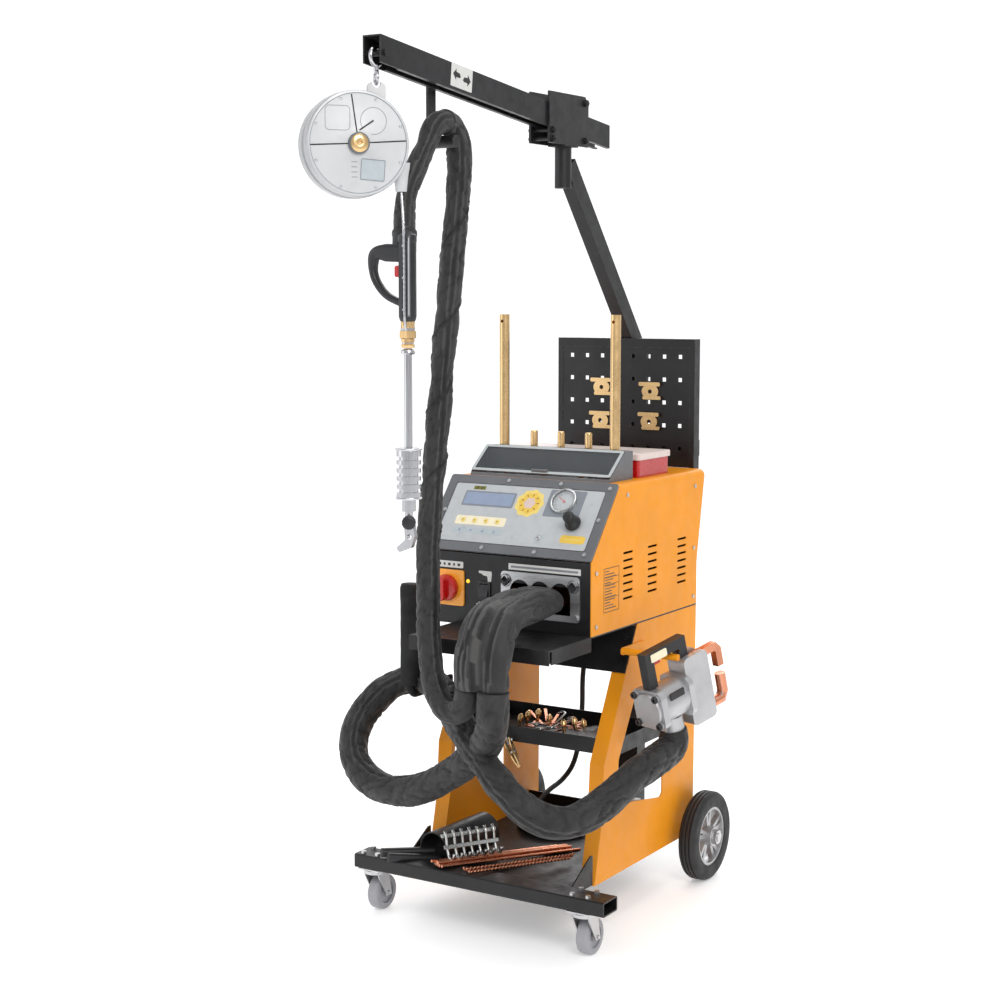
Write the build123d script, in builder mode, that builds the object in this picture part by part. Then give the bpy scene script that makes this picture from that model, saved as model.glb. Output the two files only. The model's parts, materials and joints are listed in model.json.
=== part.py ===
from build123d import *
import os
from math import atan2, cos, degrees, hypot, pi, radians, sin, tan

os.makedirs("parts", exist_ok=True)

# Spot welder on a cart, in millimetres. +Z is up, -Y is the front, +X is the right side seen
# from the front. The origin is on the floor, on the cart's middle plane, straight below the
# front panel.

# ---------------------------------------------------------------- driving dimensions
casing_width = 412
half_width = casing_width / 2
casing_bottom = 624
casing_top = 924
casing_depth = 484
slope_foot_z = 775  # where the vertical front panel ends and the sloped one starts
slope_run = 120
sheet = 2.5
frame_sheet = 3
shelf_reach = 170  # how far the shelf stands out in front of the casing
wheel_diameter = 200
wheel_width = 42
wheel_x = 246
wheel_y = 460
caster_wheel_diameter = 75
caster_x = 256
caster_y = -111
beam_bottom = 98
beam_height = 30
beam_depth = 58
board_y = 524
board_top = 1214
sleeve_y = 235  # the boom swings about a vertical line through here
rail_tilt = atan2(73, 660)  # the rail climbs towards the front
rail_height = 50
rail_width = 40
gun_x = 40
gun_y = -404
gun_hose_diameter = 50
clamp_hose_diameter = 66
mains_diameter = 12
running_gap = 0.08  # radial clearance of a pin or shaft in its bore

slope_length = hypot(slope_run, casing_top - slope_foot_z)
slope_angle = degrees(atan2(casing_top - slope_foot_z, slope_run))
# The sloped panel's plane: x runs right, y runs up the slope, z points out of the casing. It
# lies a little outside the casing's walls, so that the panel sits on their edges.
slope_plane = Plane(
    origin=(0, 0, slope_foot_z),
    x_dir=(1, 0, 0),
    z_dir=(0, -sin(radians(slope_angle)), cos(radians(slope_angle))),
).offset(3.1)
front_plane = Plane(origin=(0, 0, 0), x_dir=(1, 0, 0), z_dir=(0, -1, 0))


def rail_z(y):
    """Height of the boom rail's middle line."""
    return 1675 + tan(rail_tilt) * (255 - y)


# ---------------------------------------------------------------- casing


def hood_solid(width, shrink, radius):
    """The hood's outline as a solid, its top corners rounded; shrunk for the space inside."""
    front = 60 if shrink else 0
    rear = 40 if shrink else 0
    with BuildPart() as solid:
        with BuildSketch(Plane.YZ.offset(-width / 2)):
            with BuildLine():
                Polyline(
                    (-front, casing_bottom - front),
                    (-front, slope_foot_z),
                    (slope_run - front, casing_top - shrink),
                    (522 + rear, casing_top - shrink),
                    (499 + rear, 801),
                    (484 + rear, 721),
                    (484 + rear, casing_bottom - front),
                    close=True,
                )
            make_face()
        extrude(amount=width)
        fillet(solid.edges().filter_by(Axis.Y).group_by(Axis.Z)[-1], radius=radius)
    return solid.part


hood_inside = hood_solid(casing_width - 2 * sheet, sheet, 16 - sheet)
with BuildPart() as casing_shell:
    add(hood_solid(casing_width, 0, 16))
    add(hood_inside, mode=Mode.SUBTRACT)
    # louvres in both side walls: three columns of seven slots
    for side in (-1, 1):
        with BuildSketch(Plane.YZ.offset(side * half_width)):
            with Locations((157, 731), (268, 731), (409, 731)):
                with GridLocations(0, 16, 1, 7):
                    SlotOverall(44, 5)
        extrude(amount=-side * 6, mode=Mode.SUBTRACT)
casing_shell.part.label = "casing_shell"
export_step(casing_shell.part, "parts/casing_shell.step")

inner_half = half_width - sheet - 0.2

with BuildPart() as rear_panel:
    with BuildSketch(Plane.YZ.offset(-inner_half)):
        with BuildLine():
            Polyline(
                (480, casing_bottom + 1),
                (480, 721),
                (495, 801),
                (515, 906),
                (513, 906),
                (493, 801),
                (478, 721),
                (478, casing_bottom + 1),
                close=True,
            )
        make_face()
    extrude(amount=2 * inner_half)
    # compressed air inlet: a threaded socket with a blind bore, and the mains gland below
    with Locations(Plane((-120, 478, 675), z_dir=(0, 1, 0))):
        Cylinder(14, 22, align=(Align.CENTER, Align.CENTER, Align.MIN))
    with Locations(Plane((-120, 500, 675), z_dir=(0, 1, 0))):
        Hole(5, 16)
    with Locations(Plane((-60, 478, 650), z_dir=(0, 1, 0))):
        Cylinder(13, 26, align=(Align.CENTER, Align.CENTER, Align.MIN))
    # ventilation slots
    with BuildSketch(Plane.XZ.offset(-470)):
        with Locations((70, 675)):
            with GridLocations(0, 14, 1, 5):
                SlotOverall(150, 6)
    extrude(amount=-20, mode=Mode.SUBTRACT)
rear_panel.part.label = "rear_panel"
export_step(rear_panel.part, "parts/rear_panel.step")

outlet_left, outlet_right, outlet_low, outlet_high = -8, 180, 650, 744
outlet_x = (outlet_left + outlet_right) / 2
outlet_z = (outlet_low + outlet_high) / 2
switch_x, switch_z = -139, 698
rocker_x, rocker_z = -50, 698

with BuildPart() as front_panel:
    with BuildSketch(front_plane):
        with Locations((0, (casing_bottom + slope_foot_z) / 2)):
            Rectangle(2 * inner_half, slope_foot_z - casing_bottom - 2)
        with Locations((outlet_x, outlet_z - 6)):
            RectangleRounded(150, 60, 12, mode=Mode.SUBTRACT)
        with Locations((rocker_x, rocker_z)):
            Rectangle(20.4, 27.4, mode=Mode.SUBTRACT)
        with Locations((switch_x, switch_z)):
            Circle(8, mode=Mode.SUBTRACT)
    extrude(amount=-2)
    # returns that stiffen the panel's long edges
    with BuildSketch(Plane.XY.offset(casing_bottom + 1)):
        with Locations((0, 12)):
            Rectangle(2 * inner_half, 24)
    extrude(amount=2)
front_panel.part.label = "front_panel"
export_step(front_panel.part, "parts/front_panel.step")

gauge_u, gauge_v = 95, 137  # along and up the sloped panel
knob_u, knob_v = 137, 84

with BuildPart() as control_frame:
    with BuildSketch(slope_plane.offset(-3)):
        with Locations((0, slope_length / 2)):
            RectangleRounded(2 * half_width - 2, slope_length - 3, 6)
        with Locations((gauge_u, gauge_v)):
            Circle(24.5, mode=Mode.SUBTRACT)
        with Locations((knob_u, knob_v)):
            Circle(5, mode=Mode.SUBTRACT)
    extrude(amount=5)
    # shallow field for the printed overlay, and the window of the display
    with BuildSketch(slope_plane.offset(2)):
        with Locations((0, slope_length / 2)):
            RectangleRounded(372, 150, 6)
        with Locations((gauge_u, gauge_v), (knob_u, knob_v)):
            Rectangle(70, 62, mode=Mode.SUBTRACT)
    extrude(amount=-1, mode=Mode.SUBTRACT)
    with BuildSketch(slope_plane.offset(1)):
        with Locations((-88, 131)):
            RectangleRounded(122, 32, 2)
    extrude(amount=-2.5, mode=Mode.SUBTRACT)
control_frame.part.label = "control_frame"
export_step(control_frame.part, "parts/control_frame.step")

with BuildPart() as gauge_case:
    with BuildSketch(slope_plane.offset(-32)):
        with Locations((gauge_u, gauge_v)):
            Circle(24)
    extrude(amount=38)
    with BuildSketch(slope_plane.offset(2)):
        with Locations((gauge_u, gauge_v)):
            Circle(28)
    extrude(amount=7)
    with BuildSketch(slope_plane.offset(9)):
        with Locations((gauge_u, gauge_v)):
            Circle(25)
    extrude(amount=-6, mode=Mode.SUBTRACT)
gauge_case.part.label = "gauge_case"
export_step(gauge_case.part, "parts/gauge_case.step")

with BuildPart() as gauge_needle:
    with BuildSketch(slope_plane.offset(3.6)):
        with Locations((gauge_u, gauge_v)):
            Circle(3)
            with Locations(Location((0, 0), 145)):
                with Locations((9, 0)):
                    Rectangle(22, 1.2)
    extrude(amount=1)
gauge_needle.part.label = "gauge_needle"
export_step(gauge_needle.part, "parts/gauge_needle.step")

with BuildPart() as regulator_knob:
    with BuildSketch(slope_plane.offset(-12)):
        with Locations((knob_u, knob_v)):
            Circle(5 - running_gap)
    extrude(amount=16)
    with BuildSketch(slope_plane.offset(2.4)):
        with Locations((knob_u, knob_v)):
            Circle(14)
    extrude(amount=26, taper=-9)
    grip_edges = regulator_knob.edges().filter_by(GeomType.CIRCLE).group_by(SortBy.RADIUS)[-1]
    fillet(grip_edges, radius=3)
regulator_knob.part.label = "regulator_knob"
export_step(regulator_knob.part, "parts/regulator_knob.step")

with BuildPart() as switch_plate:
    with BuildSketch(front_plane):
        with Locations((switch_x, switch_z)):
            RectangleRounded(78, 76, 5)
            Circle(8, mode=Mode.SUBTRACT)
    extrude(amount=4)
    with BuildSketch(front_plane.offset(4)):
        with Locations((switch_x, switch_z)):
            Circle(31)
            Circle(8, mode=Mode.SUBTRACT)
    extrude(amount=3)
switch_plate.part.label = "switch_plate"
export_step(switch_plate.part, "parts/switch_plate.step")

with BuildPart() as switch_knob:
    with BuildSketch(front_plane.offset(7.4)):
        with Locations((switch_x, switch_z)):
            Circle(27)
    extrude(amount=9)
    with BuildSketch(front_plane.offset(16.4)):
        with Locations((switch_x, switch_z)):
            SlotOverall(52, 17, rotation=90)
    extrude(amount=18)
    fillet(switch_knob.faces().sort_by(Axis.Y)[0].edges(), radius=3)
    with BuildSketch(front_plane.offset(-20)):
        with Locations((switch_x, switch_z)):
            Circle(8 - running_gap)
    extrude(amount=28)
switch_knob.part.label = "switch_knob"
export_step(switch_knob.part, "parts/switch_knob.step")

with BuildPart() as rocker_switch:
    # a dark bezelled rocker that tips about a pin across its middle
    with BuildSketch(Plane.YZ.offset(rocker_x - 10)):
        with BuildLine():
            Polyline((-8, rocker_z - 12.8), (-1.5, rocker_z + 12.2), (9, rocker_z + 8),
                     (9, rocker_z - 8), close=True)
        make_face()
    extrude(amount=20)
rocker_switch.part.label = "rocker_switch"
export_step(rocker_switch.part, "parts/rocker_switch.step")

with BuildPart() as outlet_plate:
    with BuildSketch(front_plane):
        with Locations((outlet_x, outlet_z)):
            RectangleRounded(outlet_right - outlet_left, outlet_high - outlet_low, 8)
        # an opening whose upper edge is three arches side by side
        with Locations((outlet_x, outlet_z - 12)):
            Rectangle(144, 44, mode=Mode.SUBTRACT)
            with GridLocations(48, 0, 3, 1):
                with Locations((0, 20)):
                    Circle(23.5, mode=Mode.SUBTRACT)
    extrude(amount=3)
outlet_plate.part.label = "outlet_plate"
export_step(outlet_plate.part, "parts/outlet_plate.step")

# round-headed screws on the sloped panel, outlet plate, casing corners and cross panel, and
# the bolts on the caster corners
slope_screws = [(-56, 180), (72, 180), (190, 176), (190, 98), (186, 15), (69, 11), (-59, 11),
                (-186, 98), (-186, 15)]
with BuildPart() as screws:
    with BuildSketch(slope_plane.offset(2)):
        with Locations(*slope_screws):
            Circle(4.5)
    extrude(amount=2.5)
    with BuildSketch(front_plane.offset(3)):
        with Locations((outlet_left + 12, outlet_high - 14), (outlet_right - 12, outlet_high - 14),
                       (outlet_left + 10, outlet_low + 10), (outlet_right - 10, outlet_low + 10)):
            Circle(7)
    extrude(amount=6)
    for side in (-1, 1):
        with BuildSketch(Plane.YZ.offset(side * half_width)):
            with Locations((18, 642), (18, 752), (466, 642), (466, 752), (470, 890), (150, 900)):
                Circle(4.5)
        extrude(amount=side * 2.5)
    with BuildSketch(Plane.XY.offset(beam_bottom + beam_height)):
        with Locations((caster_x, caster_y), (-caster_x, caster_y)):
            with GridLocations(36, 36, 2, 2):
                RegularPolygon(6, 6)
    extrude(amount=6)
screws.part.label = "screws"
export_step(screws.part, "parts/screws.step")

# ---------------------------------------------------------------- inside the casing
with BuildPart() as transformer:
    with BuildSketch(Plane.XZ.offset(-230)):
        with Locations((0, 715)):
            Rectangle(200, 160)
            with Locations((-50, 0), (50, 0)):
                Rectangle(40, 100, mode=Mode.SUBTRACT)
    extrude(amount=-90)
    # a winding round each outer leg and the middle leg, clear of the core's iron
    for leg_x in (-80, 0, 80):
        leg_half = 30 if leg_x == 0 else 20
        with BuildSketch(Plane.XY.offset(672)):
            with Locations((leg_x, 275)):
                Rectangle(2 * leg_half + 30, 90 + 34)
                Rectangle(2 * leg_half + 0.4, 90.4, mode=Mode.SUBTRACT)
        extrude(amount=86)
transformer.part.label = "transformer"
export_step(transformer.part, "parts/transformer.step")

# ---------------------------------------------------------------- cart
with BuildPart() as cart_top:
    with BuildSketch(Plane.XY.offset(casing_bottom - 3)):
        with Locations((0, casing_depth / 2)):
            Rectangle(casing_width, casing_depth)
        with Locations(((half_width - 125) / 2, -shelf_reach / 2)):
            Rectangle(half_width + 125, shelf_reach + 0.01)
    extrude(amount=3)
    # the shelf's lip, folded down along its front and right edges
    with BuildSketch(Plane.XY.offset(casing_bottom - 30)):
        with Locations(((half_width - 125) / 2, -shelf_reach + 1.5)):
            Rectangle(half_width + 125, 3)
        with Locations((half_width - 1.5, -shelf_reach / 2 + 6)):
            Rectangle(3, shelf_reach - 12)
        with Locations((-123.5, -shelf_reach / 2)):
            Rectangle(3, shelf_reach)
    extrude(amount=28)
cart_top.part.label = "cart_top"
export_step(cart_top.part, "parts/cart_top.step")

# the side frames' front edge, from the floor tray up to the shelf: (y, z)
front_edge = [(21, 98), (51, 230), (59, 344), (203, 620.5)]
frame_bottom = 98


peg_y, peg_z, peg_length = 134, 573, 130  # the clamp gun's grip rests on this peg


def side_frame(side):
    """Folded sheet frame with a window, an inward front flange and an axle boss."""
    with BuildPart() as frame:
        with BuildSketch(Plane.YZ.offset(side * half_width)) as outline:
            with BuildLine():
                Polyline(*front_edge, (484, 620.5), (480, frame_bottom), close=True)
            make_face()
            with BuildLine():
                Polyline((110, 250), (325, 215), (325, 470), (196, 470), (122, 344), close=True)
            make_face(mode=Mode.SUBTRACT)
            fillet(outline.vertices().filter_by_position(Axis.Y, 105, 330), radius=14)
            with Locations((wheel_y, wheel_diameter / 2)):
                Circle(24)
                Circle(10 + running_gap, mode=Mode.SUBTRACT)
        extrude(amount=-side * frame_sheet)
        # front flange, folded inwards
        with BuildSketch(Plane.YZ.offset(side * half_width)):
            with BuildLine():
                Polyline(*front_edge[:3], (201, 616.6))
            trace(line_width=frame_sheet)
        extrude(amount=-side * 34)
        # top and bottom flanges that carry the casing and sit on the tray
        with BuildSketch(Plane.XY.offset(frame_bottom)):
            with Locations((side * (half_width - 15), 250)):
                Rectangle(30, 370)
        extrude(amount=frame_sheet)
        with BuildSketch(Plane.XY.offset(620.5 - frame_sheet)):
            with Locations((side * (half_width - 15), 345)):
                Rectangle(30, 276)
        extrude(amount=frame_sheet)
        if side > 0:
            # a peg on the outside that the clamp gun hangs from
            with BuildSketch(Plane.YZ.offset(half_width)):
                with Locations((peg_y + 46, peg_z)):
                    RectangleRounded(108, 16, 7)
            extrude(amount=4)
            with BuildSketch(Plane.YZ.offset(half_width)):
                with Locations((peg_y, peg_z)):
                    Circle(7)
            extrude(amount=peg_length)
    return frame.part


for side, name in ((-1, "left_frame"), (1, "right_frame")):
    frame_part = side_frame(side)
    frame_part.label = name
    export_step(frame_part, f"parts/{name}.step")

edge_angle = atan2(front_edge[3][0] - front_edge[2][0], front_edge[3][1] - front_edge[2][1])


def on_upper_edge(z, out):
    """A (y, z) point beside the frames' upper front edge, a given distance in front of it."""
    y = front_edge[3][0] - (front_edge[3][1] - z) * tan(edge_angle)
    return (y - out * cos(edge_angle), z + out * sin(edge_angle))


with BuildPart() as cross_panel:
    with BuildSketch(Plane.YZ.offset(-half_width + 1)):
        with BuildLine():
            Polyline(
                on_upper_edge(523, 1.6),
                on_upper_edge(616, 1.6),
                on_upper_edge(614, 4.6),
                on_upper_edge(521, 4.6),
                close=True,
            )
        make_face()
    extrude(amount=casing_width - 2)
    panel_plane = Plane(
        origin=(0, *on_upper_edge(565, 4.6)),
        x_dir=(1, 0, 0),
        z_dir=(0, -cos(edge_angle), sin(edge_angle)),
    )
    with BuildSketch(panel_plane):
        with GridLocations(376, 58, 2, 2):
            Circle(6)
    extrude(amount=3)
cross_panel.part.label = "cross_panel"
export_step(cross_panel.part, "parts/cross_panel.step")


def tray(width, depth, height, wall):
    """An open-topped folded tray standing on the work plane, centred on it."""
    Box(width, depth, height, align=(Align.CENTER, Align.CENTER, Align.MIN))
    with Locations((0, 0, wall)):
        Box(width - 2 * wall, depth - 2 * wall, height,
            align=(Align.CENTER, Align.CENTER, Align.MIN), mode=Mode.SUBTRACT)


inner_width = casing_width - 2 * frame_sheet - 0.4
tray_y, tray_z = 215, 352
with BuildPart() as middle_tray:
    with Locations((0, tray_y, tray_z)):
        tray(inner_width, 210, 34, 2)
middle_tray.part.label = "middle_tray"
export_step(middle_tray.part, "parts/middle_tray.step")

base_front, base_rear = caster_y + beam_depth / 2 + 0.2, 440
with BuildPart() as base_tray:
    with BuildSketch(Plane.XY.offset(beam_bottom + frame_sheet)):
        with Locations((0, (base_front + base_rear) / 2)):
            Rectangle(inner_width, base_rear - base_front)
        # notches for the frames' front flanges
        with Locations((half_width - 17, 23), (17 - half_width, 23)):
            Rectangle(36, 10, mode=Mode.SUBTRACT)
    extrude(amount=3)
    # rear wall, and triangular side walls in front of the frames
    with BuildSketch(Plane.XY.offset(beam_bottom + frame_sheet)):
        with Locations((0, base_rear - 1.5)):
            Rectangle(inner_width, 3)
    extrude(amount=42)
    for side in (-1, 1):
        with BuildSketch(Plane.YZ.offset(side * inner_width / 2)):
            with BuildLine():
                Polyline((base_front, 101), (base_front, 112), (8, 164), (17, 164), (17, 101),
                         close=True)
            make_face()
        extrude(amount=-side * 3)
base_tray.part.label = "base_tray"
export_step(base_tray.part, "parts/base_tray.step")

beam_left, beam_right = -291, 314
with BuildPart() as front_beam:
    with BuildSketch(Plane.YZ.offset(beam_left)):
        with Locations((caster_y, beam_bottom + beam_height / 2)):
            RectangleRounded(beam_depth, beam_height, 4)
            RectangleRounded(beam_depth - 6, beam_height - 6, 2, mode=Mode.SUBTRACT)
    extrude(amount=beam_right - beam_left)
front_beam.part.label = "front_beam"
export_step(front_beam.part, "parts/front_beam.step")

with BuildPart() as rear_axle:
    with BuildSketch(Plane.YZ.offset(-283)):
        with Locations((wheel_y, wheel_diameter / 2)):
            Circle(10)
    extrude(amount=566)
    # collars between the frames and the wheels, and the end nuts
    for side in (-1, 1):
        with BuildSketch(Plane.YZ.offset(side * (half_width + 0.3))):
            with Locations((wheel_y, wheel_diameter / 2)):
                Circle(16)
        extrude(amount=side * 14)
        with BuildSketch(Plane.YZ.offset(side * 270.5)):
            with Locations((wheel_y, wheel_diameter / 2)):
                RegularPolygon(17, 6)
        extrude(amount=side * 10)
rear_axle.part.label = "rear_axle"
export_step(rear_axle.part, "parts/rear_axle.step")

# steel bar from the left frame's leg, and a padded upright that the hoses are laid over
hook_x, hook_low, hook_high = -240, 440, 693
with BuildPart() as cable_hook:
    with BuildLine() as hook_line:
        FilletPolyline((-half_width - 0.1, 95, 452), (hook_x, 60, 452), (hook_x, 0, 452),
                       (hook_x, 0, 640), radius=[14, 20])
    with BuildSketch(Plane(origin=hook_line.line @ 0, z_dir=hook_line.line % 0)):
        Circle(8)
    sweep(path=hook_line.line)
    with BuildSketch(Plane.YZ.offset(-half_width - 0.1)):
        with Locations((95, 452)):
            RectangleRounded(40, 60, 6)
    extrude(amount=-4)
    with BuildSketch(Plane.XY.offset(478)):
        with Locations((hook_x, 0)):
            Circle(21)
    extrude(amount=hook_high - 478)
    fillet(cable_hook.edges().filter_by(GeomType.CIRCLE).group_by(Axis.Z)[-1], radius=9)
cable_hook.part.label = "cable_hook"
export_step(cable_hook.part, "parts/cable_hook.step")

# accessories lying on the base tray: a wide open tube, and the spare drawing rods, which rest
# on the front beam and slope down to the tray's floor behind
tool_floor = beam_bottom + frame_sheet + 3
beam_top = beam_bottom + beam_height
rod_radius, rod_length = 3, 346
rod_run = Vector(152, 372, -33.4).normalized()
rod_rise = beam_top + rod_radius + 4.9  # height of the rods' front ends
rod_starts = [(6 * k - 95, -126 - 2.5 * k, rod_rise) for k in range(4)]
rod_starts += [(6 * k - 92, -127.2 - 2.5 * k, rod_rise + 5.4) for k in range(2)]
with BuildPart() as tray_tools:
    with Locations(Plane((-128, -74, tool_floor + 41), z_dir=(0.12, 1, 0.03))):
        Cylinder(39, 170, align=(Align.CENTER, Align.CENTER, Align.MIN))
        Cylinder(36, 171, align=(Align.CENTER, Align.CENTER, Align.MIN), mode=Mode.SUBTRACT)
    for rod_start in rod_starts:
        with Locations(Plane(rod_start, z_dir=rod_run)):
            Cylinder(rod_radius, rod_length, align=(Align.CENTER, Align.CENTER, Align.MIN))
tray_tools.part.label = "tray_tools"
export_step(tray_tools.part, "parts/tray_tools.step")

# ---------------------------------------------------------------- casters and rear wheels
caster_radius = caster_wheel_diameter / 2
fork_trail = 22  # the wheel's axle stands this far behind the swivel line

with BuildPart() as caster_plates:
    with BuildSketch(Plane.XY.offset(beam_bottom - 3)):
        with Locations((caster_x, caster_y), (-caster_x, caster_y)):
            RectangleRounded(56, 56, 4)
    extrude(amount=2.9)
    # the swivel pin under each plate
    with BuildSketch(Plane.XY.offset(beam_bottom - 12)):
        with Locations((caster_x, caster_y), (-caster_x, caster_y)):
            Circle(7)
    extrude(amount=9)
caster_plates.part.label = "caster_plates"
export_step(caster_plates.part, "parts/caster_plates.step")


def caster_fork(side):
    """Stamped fork: a crown on the swivel pin and two cheeks that carry the wheel's axle."""
    axle_y = caster_y + fork_trail
    with BuildPart() as fork:
        with BuildSketch(Plane.XY.offset(beam_bottom - 12)):
            with Locations((side * caster_x, caster_y)):
                Circle(26)
                Circle(7 + running_gap, mode=Mode.SUBTRACT)
        extrude(amount=7)
        for cheek in (-1, 1):
            with BuildSketch(Plane.YZ.offset(side * caster_x + cheek * 17)):
                with BuildLine():
                    Polyline((caster_y - 20, 92), (caster_y - 14, 78), (axle_y - 9, 32),
                             (axle_y + 9, 32), (caster_y + 22, 78), (caster_y + 20, 92),
                             close=True)
                make_face()
            extrude(amount=cheek * 2.5)
        with BuildSketch(Plane.YZ.offset(side * caster_x - 22)):
            with Locations((axle_y, caster_radius)):
                Circle(4)
        extrude(amount=44)
    return fork.part


def caster_wheel(side):
    """Solid caster wheel with a rounded tread and a bore for the fork's axle."""
    plane = Plane((side * caster_x, caster_y + fork_trail, caster_radius), z_dir=(1, 0, 0))
    with BuildPart(plane) as wheel:
        Cylinder(caster_radius, 26)
        fillet(wheel.edges().filter_by(GeomType.CIRCLE), radius=5)
        Hole(4 + running_gap)
        # a recess round the hub in each face
        for face in (-1, 1):
            with BuildSketch(plane.offset(face * 13)):
                Circle(24)
                Circle(11, mode=Mode.SUBTRACT)
            extrude(amount=-face * 4, mode=Mode.SUBTRACT)
    return wheel.part


def rear_wheel_plane(side):
    """Plane across a rear wheel's middle, looking outwards."""
    return Plane((side * wheel_x, wheel_y, wheel_diameter / 2), z_dir=(side, 0, 0))


def tyre(side):
    """Solid rubber tyre with rounded shoulders."""
    with BuildPart(rear_wheel_plane(side)) as rubber:
        Cylinder(wheel_diameter / 2, wheel_width)
        fillet(rubber.edges().filter_by(GeomType.CIRCLE), radius=12)
        Cylinder(69, wheel_width + 2, mode=Mode.SUBTRACT)
    return rubber.part


def rim(side):
    """Cast rim: a barrel, a hub with the axle bore, and five twin spokes."""
    plane = rear_wheel_plane(side)
    with BuildPart(plane) as metal:
        Cylinder(68.9, 34)
        Cylinder(60, 35, mode=Mode.SUBTRACT)
        Cylinder(22, 48)
        with PolarLocations(0, 5):
            for lean in (-9, 9):
                with Locations(Location((0, 0, 0), lean)):
                    with Locations((40, 0, 4)):
                        Box(44, 9, 12)
        Hole(10 + running_gap)
    return metal.part


for side, name in ((-1, "left"), (1, "right")):
    for maker, piece_name in (
        (tyre, "tyre"),
        (rim, "rim"),
        (caster_fork, "fork"),
        (caster_wheel, "caster_wheel"),
    ):
        wheel_part = maker(side)
        wheel_part.label = f"{name}_{piece_name}"
        export_step(wheel_part, f"parts/{name}_{piece_name}.step")

# ---------------------------------------------------------------- top and rear
with BuildPart() as tool_board:
    with BuildSketch(Plane.XZ.offset(-board_y)):
        with Locations((0, (casing_top + board_top) / 2)):
            Rectangle(330, board_top - casing_top)
        with Locations((0, 1070)):
            with GridLocations(40, 52, 8, 5):
                Rectangle(9, 9, mode=Mode.SUBTRACT)
    extrude(amount=-2)
    # side posts and the top beam
    with BuildSketch(Plane.XY.offset(casing_top - 24)):
        with Locations((-171, board_y + 12), (171, board_y + 12)):
            Rectangle(12, 26)
    extrude(amount=board_top - casing_top + 24)
    with BuildSketch(Plane.YZ.offset(-176)):
        with Locations((board_y + 12, board_top - 10)):
            Rectangle(26, 20)
    extrude(amount=352)
    # notch in the top beam for the leaning mast
    with Locations((0, board_y + 18, board_top - 10)):
        Box(34, 31, 24, mode=Mode.SUBTRACT)
tool_board.part.label = "tool_board"
export_step(tool_board.part, "parts/tool_board.step")

clip_places = [(-60, 1101), (-63, 1024), (66, 1094), (64, 1025)]
with BuildPart() as board_clips:
    for clip_x, clip_z in clip_places:
        with BuildSketch(Plane.XZ.offset(-board_y + 0.2)):
            with Locations((clip_x, clip_z)):
                Ellipse(21, 17)
                Circle(5, mode=Mode.SUBTRACT)
        extrude(amount=4)
        with BuildSketch(Plane.XZ.offset(-board_y + 4.2)):
            with Locations((clip_x, clip_z + 17)):
                RectangleRounded(54, 9, 3)
        extrude(amount=4)
        with BuildSketch(Plane.XZ.offset(-board_y + 4.2)):
            with Locations((clip_x + 6, clip_z - 14)):
                RectangleRounded(46, 8, 3)
        extrude(amount=4)
board_clips.part.label = "board_clips"
export_step(board_clips.part, "parts/board_clips.step")

# wedge box on the hood with an inclined window that is hinged along its rear edge
rack_half, rack_front, rack_rear = 172, 134, 238
rack_base = casing_top + 0.1
rack_lip, rack_height = 8, 60
with BuildPart() as rack_box:
    with BuildSketch(Plane.YZ.offset(-rack_half)):
        with BuildLine():
            Polyline((rack_front, rack_base), (rack_front + 4, rack_base + rack_lip),
                     (rack_rear - 34, rack_base + rack_height),
                     (rack_rear, rack_base + rack_height), (rack_rear, rack_base), close=True)
        make_face()
    extrude(amount=2 * rack_half)
    with BuildSketch(Plane.YZ.offset(-rack_half + 2)):
        with BuildLine():
            Polyline((rack_front + 3, rack_base + 2), (rack_front + 6, rack_base + 40),
                     (rack_rear - 37, rack_base + 90), (rack_rear - 37, rack_base + 2),
                     close=True)
        make_face()
    extrude(amount=2 * rack_half - 4, mode=Mode.SUBTRACT)
rack_box.part.label = "rack_box"
export_step(rack_box.part, "parts/rack_box.step")

window_run, window_rise = rack_rear - 34 - rack_front - 4, rack_height - rack_lip
window_length = hypot(window_run, window_rise)
window_plane = Plane(
    origin=(0, rack_front + 4, rack_base + rack_lip),
    x_dir=(1, 0, 0),
    z_dir=(0, -window_rise, window_run),
)
with BuildPart() as rack_window:
    with BuildSketch(window_plane.offset(0.4)):
        with Locations((0, window_length / 2)):
            RectangleRounded(2 * rack_half, window_length - 1, 3)
    extrude(amount=2.5)
rack_window.part.label = "rack_window"
export_step(rack_window.part, "parts/rack_window.step")

rod_y, rod_x = rack_rear - 17, 138
with BuildPart() as tool_rods:
    with BuildSketch(Plane.XY.offset(rack_base + rack_height + 0.1)):
        with Locations((-rod_x, rod_y), (rod_x, rod_y)):
            Circle(11)
    extrude(amount=1273 - rack_base - 62.1)
    for side in (-1, 1):
        with Locations(Plane((side * rod_x, rod_y - 20, 1256), z_dir=(0, 1, 0))):
            Cylinder(3.5, 60, mode=Mode.SUBTRACT)
    with BuildSketch(Plane.XY.offset(rack_base + rack_height + 0.1)):
        with Locations((-62, rod_y), (6, rod_y), (74, rod_y)):
            Circle(8)
    extrude(amount=36)
    top_circles = tool_rods.edges().filter_by(GeomType.CIRCLE)
    fillet(top_circles.filter_by_position(Axis.Z, 1015, 1030), radius=4)
tool_rods.part.label = "tool_rods"
export_step(tool_rods.part, "parts/tool_rods.step")

with BuildPart() as accessory_box:
    with Locations((-6, 330, casing_top + 0.1)):
        Box(362, 142, 38, align=(Align.CENTER, Align.CENTER, Align.MIN))
    fillet(accessory_box.edges().filter_by(Axis.Z), radius=6)
    with Locations((-6, 330, casing_top + 38.1)):
        Box(366, 146, 12, align=(Align.CENTER, Align.CENTER, Align.MIN))
accessory_box.part.label = "accessory_box"
export_step(accessory_box.part, "parts/accessory_box.step")

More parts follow.
